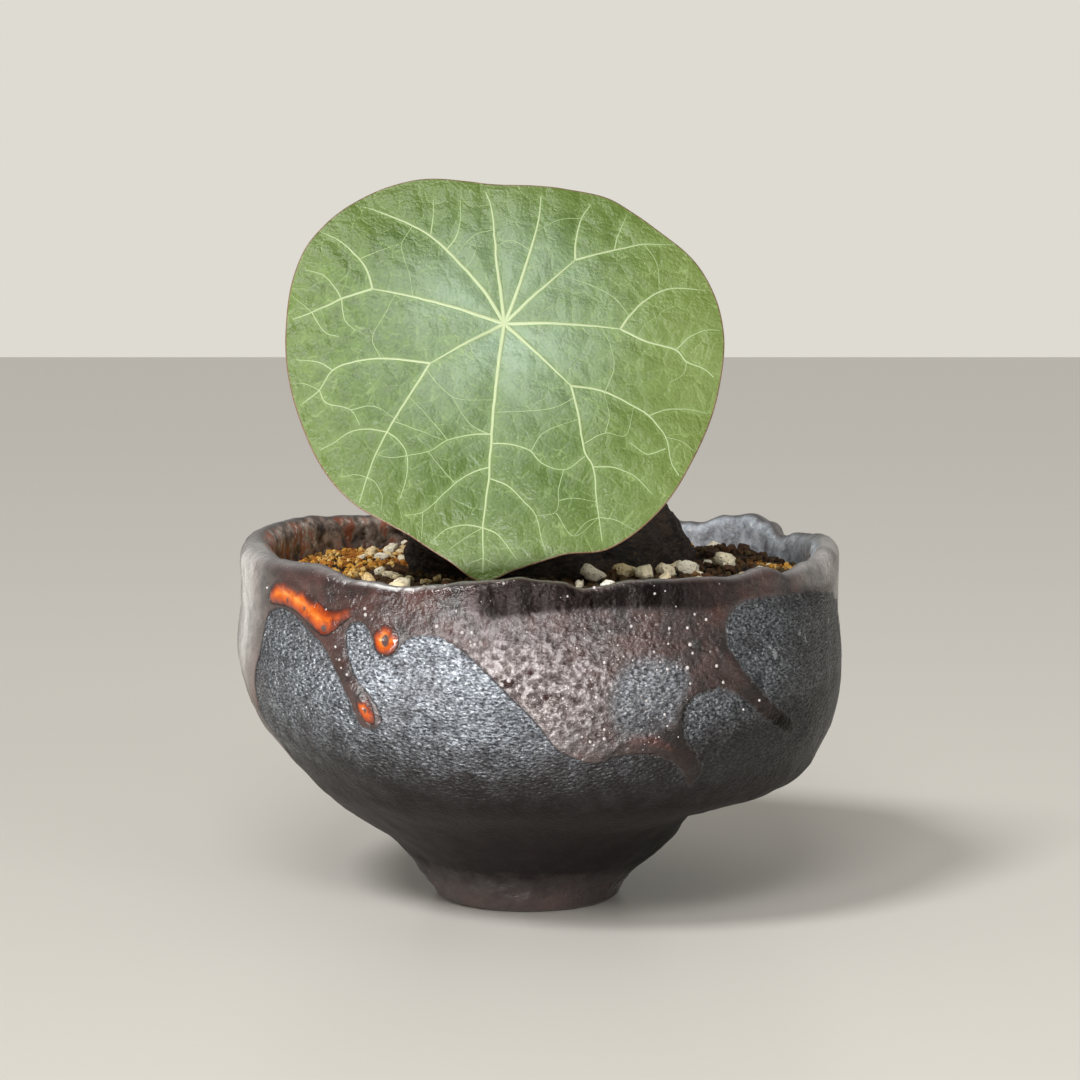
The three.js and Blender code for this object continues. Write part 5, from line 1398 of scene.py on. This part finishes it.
strewn = {"pumice": 36, "bark": 60, "closest": 4.4, "clearOfLaid": 7, "smallest": 2.4, "largest": 4.6,
          "bareOfPumice": (47, 18, 14)}
# heaps as place, radius and rise, and patches of golden grains as place and radius
soilHeaps = [(26, -31, 20, 2.2), (46, -8, 13, 1.6), (45, 19, 11, 3.4), (-33, -26, 13, 1.3),
             (-38, 22, 13, 1.3), (11, -40, 10, 0.8)]
goldPatches = [(-46, 14, 16), (-58, 10, 14), (-44, 36, 13), (-50, -8, 11), (61, 4, 8), (36, 52, 15),
               (-16, 62, 12)]


def soilTop(x, y):
    reach = np.hypot(x - caudex["centre"][0], y - caudex["centre"][1])
    rough = np.sin(0.31 * x + 1.7 * np.sin(0.17 * y)) * np.sin(0.37 * y + 1.3 * np.sin(0.21 * x))
    heaped = sum(rise * bell(np.hypot(x - cx, y - cy), radius) for cx, cy, radius, rise in soilHeaps)
    return soil["height"] + soil["mound"] * bell(reach, 46) + soil["rough"] * rough + heaped


def earthShare(x, y):
    # 0 among the golden grains, 1 where the soil is dark
    gold = np.max([bell(np.hypot(x - cx, y - cy), radius) for cx, cy, radius in goldPatches], axis=0)
    rough = lumps(np.stack([x, y, 0 * x], axis=-1), 7, 53, 2)
    return 1 - eased(2.2 * gold - 0.35 + 0.5 * rough)


def soilEdge(degrees):
    # radius of the soil's upper edge: the inner wall less the gap
    levels = np.arange(66, 88, 2.0)
    wall = [innerWall(degrees, level + 0 * degrees, soil["gap"]) for level in levels]
    radii, heights = np.array([w[0] for w in wall]), np.array([w[1] for w in wall])
    return np.array([np.interp(soil["height"], heights[:, c], radii[:, c]) for c in range(len(degrees))])


def makeBed(material):
    columns, gap = soil["columns"], soil["gap"]
    degrees = np.arange(columns) / columns * 360
    rings = [bowlPoint(degrees, wallRadius(degrees, 0 * degrees) - 0.8, 0 * degrees + soil["bottom"])]
    rings += [bowlPoint(degrees, *innerWall(degrees, level + 0 * degrees, gap))
              for level in soil["sideLevels"]]
    edge = soilEdge(degrees)
    below = len(rings)
    for share in np.linspace(0, 1, soil["topRings"]):
        ring = bowlPoint(degrees, edge + (soil["innermost"] - edge) * share, 0 * degrees + soil["height"])
        ring[:, 2] = soilTop(ring[:, 0], ring[:, 1])
        rings.append(ring)
    points = np.array(rings)
    points[below:, :, 2] += 0.5 * lumps(points[below:], 3.2, 51, 2) + 0.3 * lumps(points[below:], 1.3, 52, 1)
    x, y = points[..., 0], points[..., 1]
    free = np.zeros(x.shape)                 # grains keep this clear of the wall
    free[below:] = eased((edge[None, :] - np.hypot(x[below:], y[below:]) - 1) / 0.6)
    flat = np.vstack([points.reshape(-1, 3), points[0].mean(axis=0), points[-1].mean(axis=0)])
    values = {label: np.concatenate([numbers.ravel(), [0, 0]])
              for label, numbers in (("free", free), ("earth", earthShare(x, y)))}
    return addMesh("soil_bed", flat, cappedFaces(len(rings), columns), material, values)


def strewStones(count, seed, laid=(), bare=None):
    # the laid stones, then seeded random ones that keep clear of them, of the caudex, of the golden
    # patches, of the wall and of the bare place
    draw = np.random.default_rng(seed)
    stones = list(laid)
    edges = soilEdge(np.arange(360.0))
    caudexX, caudexY, _ = caudex["centre"]
    kept = [(caudexX, caudexY, caudex["halfWidth"] + 1), *goldPatches, *([bare] if bare else [])]
    kept += [(x, y, strewn["clearOfLaid"]) for x, y, _ in laid]
    while len(stones) < count + len(laid):
        turn, reach = draw.uniform(0, 360), 70 * math.sqrt(draw.uniform(0.2, 1))
        x, y = reach * math.cos(math.radians(turn)), reach * math.sin(math.radians(turn))
        length = draw.uniform(strewn["smallest"], strewn["largest"])
        clear = edges[int(turn)] - reach > 0.6 * length + 0.8
        clear = clear and all(math.hypot(x - cx, y - cy) > radius for cx, cy, radius in kept)
        if clear and all(math.hypot(x - sx, y - sy) > strewn["closest"] for sx, sy, _ in stones):
            stones.append((x, y, length))
    return np.array(stones)


def grainTree(name, material, sizes, cuts, variants, stretch, smooth, strewnOver=None):
    # uneven lumps on the given points, or strewn over the given faces where the named share is high
    tree, add, given, result = geometryTree(name, sizes)
    if strewnOver:
        share = add("GeometryNodeInputNamedAttribute", {"Name": strewnOver}, data_type="FLOAT")
        spots = add("GeometryNodeDistributePointsOnFaces", {
            "Mesh": given["Geometry"], "Distance Min": given["Spacing"], "Density Max": 600000,
            "Density Factor": share.outputs["Attribute"], "Seed": given["Seed"]},
            distribute_method="POISSON")
        width = given["Grain size"]
    else:
        spots = add("GeometryNodeMeshToPoints", {"Mesh": given["Geometry"]})
        length = add("GeometryNodeInputNamedAttribute", {"Name": "length"}, data_type="FLOAT")
        width = add("Math", {0: length.outputs["Attribute"], 1: given["Grain size"]}, operation="MULTIPLY")
    lift = add("CombineXYZ", {"Z": given["Lift"]})
    spots = add("GeometryNodeSetPosition", {"Geometry": spots, "Offset": lift})
    shapes = add("GeometryNodeJoinGeometry")
    for variant in range(variants):
        if cuts:
            block = add("GeometryNodeMeshCube", {
                "Size": stretch, "Vertices X": cuts, "Vertices Y": cuts, "Vertices Z": cuts})
        else:
            block = add("GeometryNodeMeshIcoSphere", {"Radius": 0.5, "Subdivisions": 1})
        place = add("GeometryNodeInputPosition")
        ball = add("VectorMath", {0: place}, operation="NORMALIZE")
        ball = add("VectorMath", {0: ball, 1: [0.56 * side for side in stretch]}, operation="MULTIPLY")
        rounded = add("Mix", {0: 0.75, 4: place, 5: ball}, data_type="VECTOR")
        wave = add("TexNoise", {"Vector": place, "W": 3.7 * variant, "Scale": 1.9, "Detail": 2},
                   noise_dimensions="4D")
        swing = add("VectorMath", {0: wave.outputs["Color"], 1: (0.5, 0.5, 0.5)}, operation="SUBTRACT")
        swing = add("VectorMath", {0: swing, 3: given["Unevenness"]}, operation="SCALE")
        shaped = add("GeometryNodeSetPosition", {
            "Geometry": block.outputs["Mesh"], "Position": rounded, "Offset": swing})
        fillSockets(shapes, {0: add("GeometryNodeGeometryToInstance", {0: shaped})})
    which = add("FunctionNodeRandomValue", {4: 0, 5: variants - 1, "Seed": given["Seed"]}, data_type="INT")
    lean = 6.28 if strewnOver else 0.5       # loose stones lie on their flat side
    turn = add("FunctionNodeRandomValue", {0: (-lean, -lean, 0), 1: (lean, lean, 6.28), "Seed": 2},
               data_type="FLOAT_VECTOR")
    grow = add("FunctionNodeRandomValue", {2: given["Least"], 3: given["Most"], "Seed": 3},
               data_type="FLOAT")
    size = add("Math", {0: grow.outputs[1], 1: width}, operation="MULTIPLY")
    grains = add("GeometryNodeInstanceOnPoints", {
        "Points": spots, "Instance": shapes, "Pick Instance": True, "Instance Index": which.outputs[2],
        "Rotation": turn.outputs[0], "Scale": size})
    shade = add("FunctionNodeRandomValue", {"Seed": 4}, data_type="FLOAT")
    toned = add("GeometryNodeStoreNamedAttribute", {"Geometry": grains, "Name": "shade",
                                                    "Value": shade.outputs[1]},
                data_type="FLOAT", domain="INSTANCE")
    closeTree(add, toned, smooth, material, result)
    return tree


def layGrains(name, points, faces, values, tree, sizes):
    mesh = bpy.data.meshes.new(name + " places")
    mesh.from_pydata((np.asarray(points) * mm).tolist(), [], faces)
    addValues(mesh, values)
    return growPiece(name, placeObject(mesh.name, mesh), tree, sizes)


def makeGrains(bed, material):
    # the akadama lies all over the bed's upper faces
    points = np.array([v.co for v in bed.data.vertices]) / mm
    values = {}
    for label in ("free", "earth"):
        values[label] = np.zeros(len(points), np.float32)
        bed.data.attributes[label].data.foreach_get("value", values[label])
    faces = [p.vertices[:] for p in bed.data.polygons if values["free"][list(p.vertices)].max() > 0]
    tree = grainTree("akadama over the bed", material, akadama, cuts=0, variants=6, stretch=(1, 1, 0.9),
                     smooth=False, strewnOver="free")
    return layGrains("soil_akadama", points, faces, values, tree, akadama)


def makeStones(name, stones, material, sizes, cuts, variants, stretch, smooth, sunk):
    x, y, length = stones.T
    points = np.stack([x, y, soilTop(x, y) + (0.5 * stretch[2] - sunk) * length], axis=1)
    tree = grainTree(name, material, sizes, cuts, variants, stretch, smooth)
    return layGrains(name, points, [], {"length": length, "earth": 0 * length}, tree, sizes)


def makeEarthMaterial():
    # Composted bark and clay dust: dark, damp crumbs that give hardly any shine
    material, add, shader, spot = newMaterial("dampPottingEarth")
    crumbs = add("TexNoise", {"Vector": spot, "Scale": 1 / 1.1, "Detail": 4, "Roughness": 0.65})
    colour = add("ValToRGB", {"Fac": crumbs}, [(0.35, "#0c0705"), (0.55, "#20140c"), (0.75, "#4a3019")])
    bump = add("Bump", {"Height": crumbs, "Distance": 0.6 * mm, "Strength": 1})
    fillSockets(shader, {"Base Color": colour, "Roughness": 0.9, "Normal": bump})
    return material


def makeGrainMaterial(name, stops, poreSize, poreDepth, soiledBy):
    # Akadama is baked volcanic clay, pumice a frothed glass and bark a split cork: each grain has its own
    # tone, with a powdery face and pores of its kind
    material, add, shader, spot = newMaterial(name)
    shade, earth = (add("Attribute", attribute_name=label).outputs["Fac"] for label in ("shade", "earth"))
    fine = add("TexNoise", {"Vector": spot, "Scale": 1 / 1.4, "Detail": 4, "Roughness": 0.6})
    tone = add("Math", {0: fine, 1: 0.6, 2: shade}, operation="MULTIPLY_ADD")
    tone = add("MapRange", {"Value": tone, "From Min": 0.15, "From Max": 1.4})
    soiled = add("Math", {0: earth, 1: soiledBy}, operation="MULTIPLY")
    pores = add("TexVoronoi", {"Vector": spot, "Scale": 1 / poreSize})
    pit = add("MapRange", {"Value": pores.outputs["Distance"], "From Min": 0.05, "From Max": 0.4})
    shaded = add("MapRange", {"Value": pit, "To Min": 0.35, "To Max": 0})
    colour = add("ValToRGB", {"Fac": tone}, stops)
    for mask, over in ((soiled, "#24170e"), (shaded, "#3a2a1a")):
        colour = add("Mix", {0: mask, 6: colour, 7: over}, data_type="RGBA")
    height = add("Math", {0: fine, 1: 0.7, 2: pit}, operation="MULTIPLY_ADD")
    bump = add("Bump", {"Height": height, "Distance": poreDepth * mm, "Strength": 0.9})
    fillSockets(shader, {"Base Color": colour, "Roughness": 0.92, "Normal": bump})
    return material


bed = makeBed(makeEarthMaterial())
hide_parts("soil")
akadamaClay = makeGrainMaterial("akadamaClay", [
    (0.0, "#54300d"), (0.3, "#a9661e"), (0.65, "#dca03c"), (1.0, "#f8d88e")], 0.7, 0.2, 0.92)
pumiceStone = makeGrainMaterial("pumiceStone", [
    (0.0, "#c58f42"), (0.22, "#edd09a"), (0.5, "#fbeecd"), (1.0, "#fffaec")], 0.8, 0.35, 0.0)
splitBark = makeGrainMaterial("splitBark", [
    (0.0, "#1d100a"), (0.4, "#3b2413"), (0.75, "#5f3d20"), (1.0, "#7f5a34")], 0.9, 0.3, 0.3)
grains = [
    makeGrains(bed, akadamaClay),
    makeStones("soil_pumice", strewStones(strewn["pumice"], 5, laidPumice, strewn["bareOfPumice"]),
               pumiceStone, pumice, cuts=4, variants=6, stretch=(1.0, 0.66, 0.58), smooth=True, sunk=-0.12),
    makeStones("soil_bark", strewStones(strewn["bark"], 6),
               splitBark, barkChips, cuts=3, variants=4, stretch=(1.0, 0.7, 0.45), smooth=False, sunk=-0.1),
]
for piece in (bed, *grains):
    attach(piece, "root")
print("soil ready:", [len(piece.data.polygons) for piece in grains], "faces of grains")


# The net over the drain hole keeps its shape from the frame

def makeNetMaterial():
    # Moulded polyethylene: dull black-green, faintly rough from the mould
    material, add, shader, spot = newMaterial("mouldedPolyethylene")
    grain = add("TexNoise", {"Vector": spot, "Scale": 1 / 0.4, "Detail": 2})
    colour = add("Mix", {0: grain, 6: "#141a17", 7: "#252d29"}, data_type="RGBA")
    bump = add("Bump", {"Height": grain, "Distance": 0.05 * mm, "Strength": 0.5})
    fillSockets(shader, {"Base Color": colour, "Roughness": 0.5, "Normal": bump})
    return material


netMaterial = makeNetMaterial()
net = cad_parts["drain_mesh"]
for place in net.material_slots:
    place.material = netMaterial
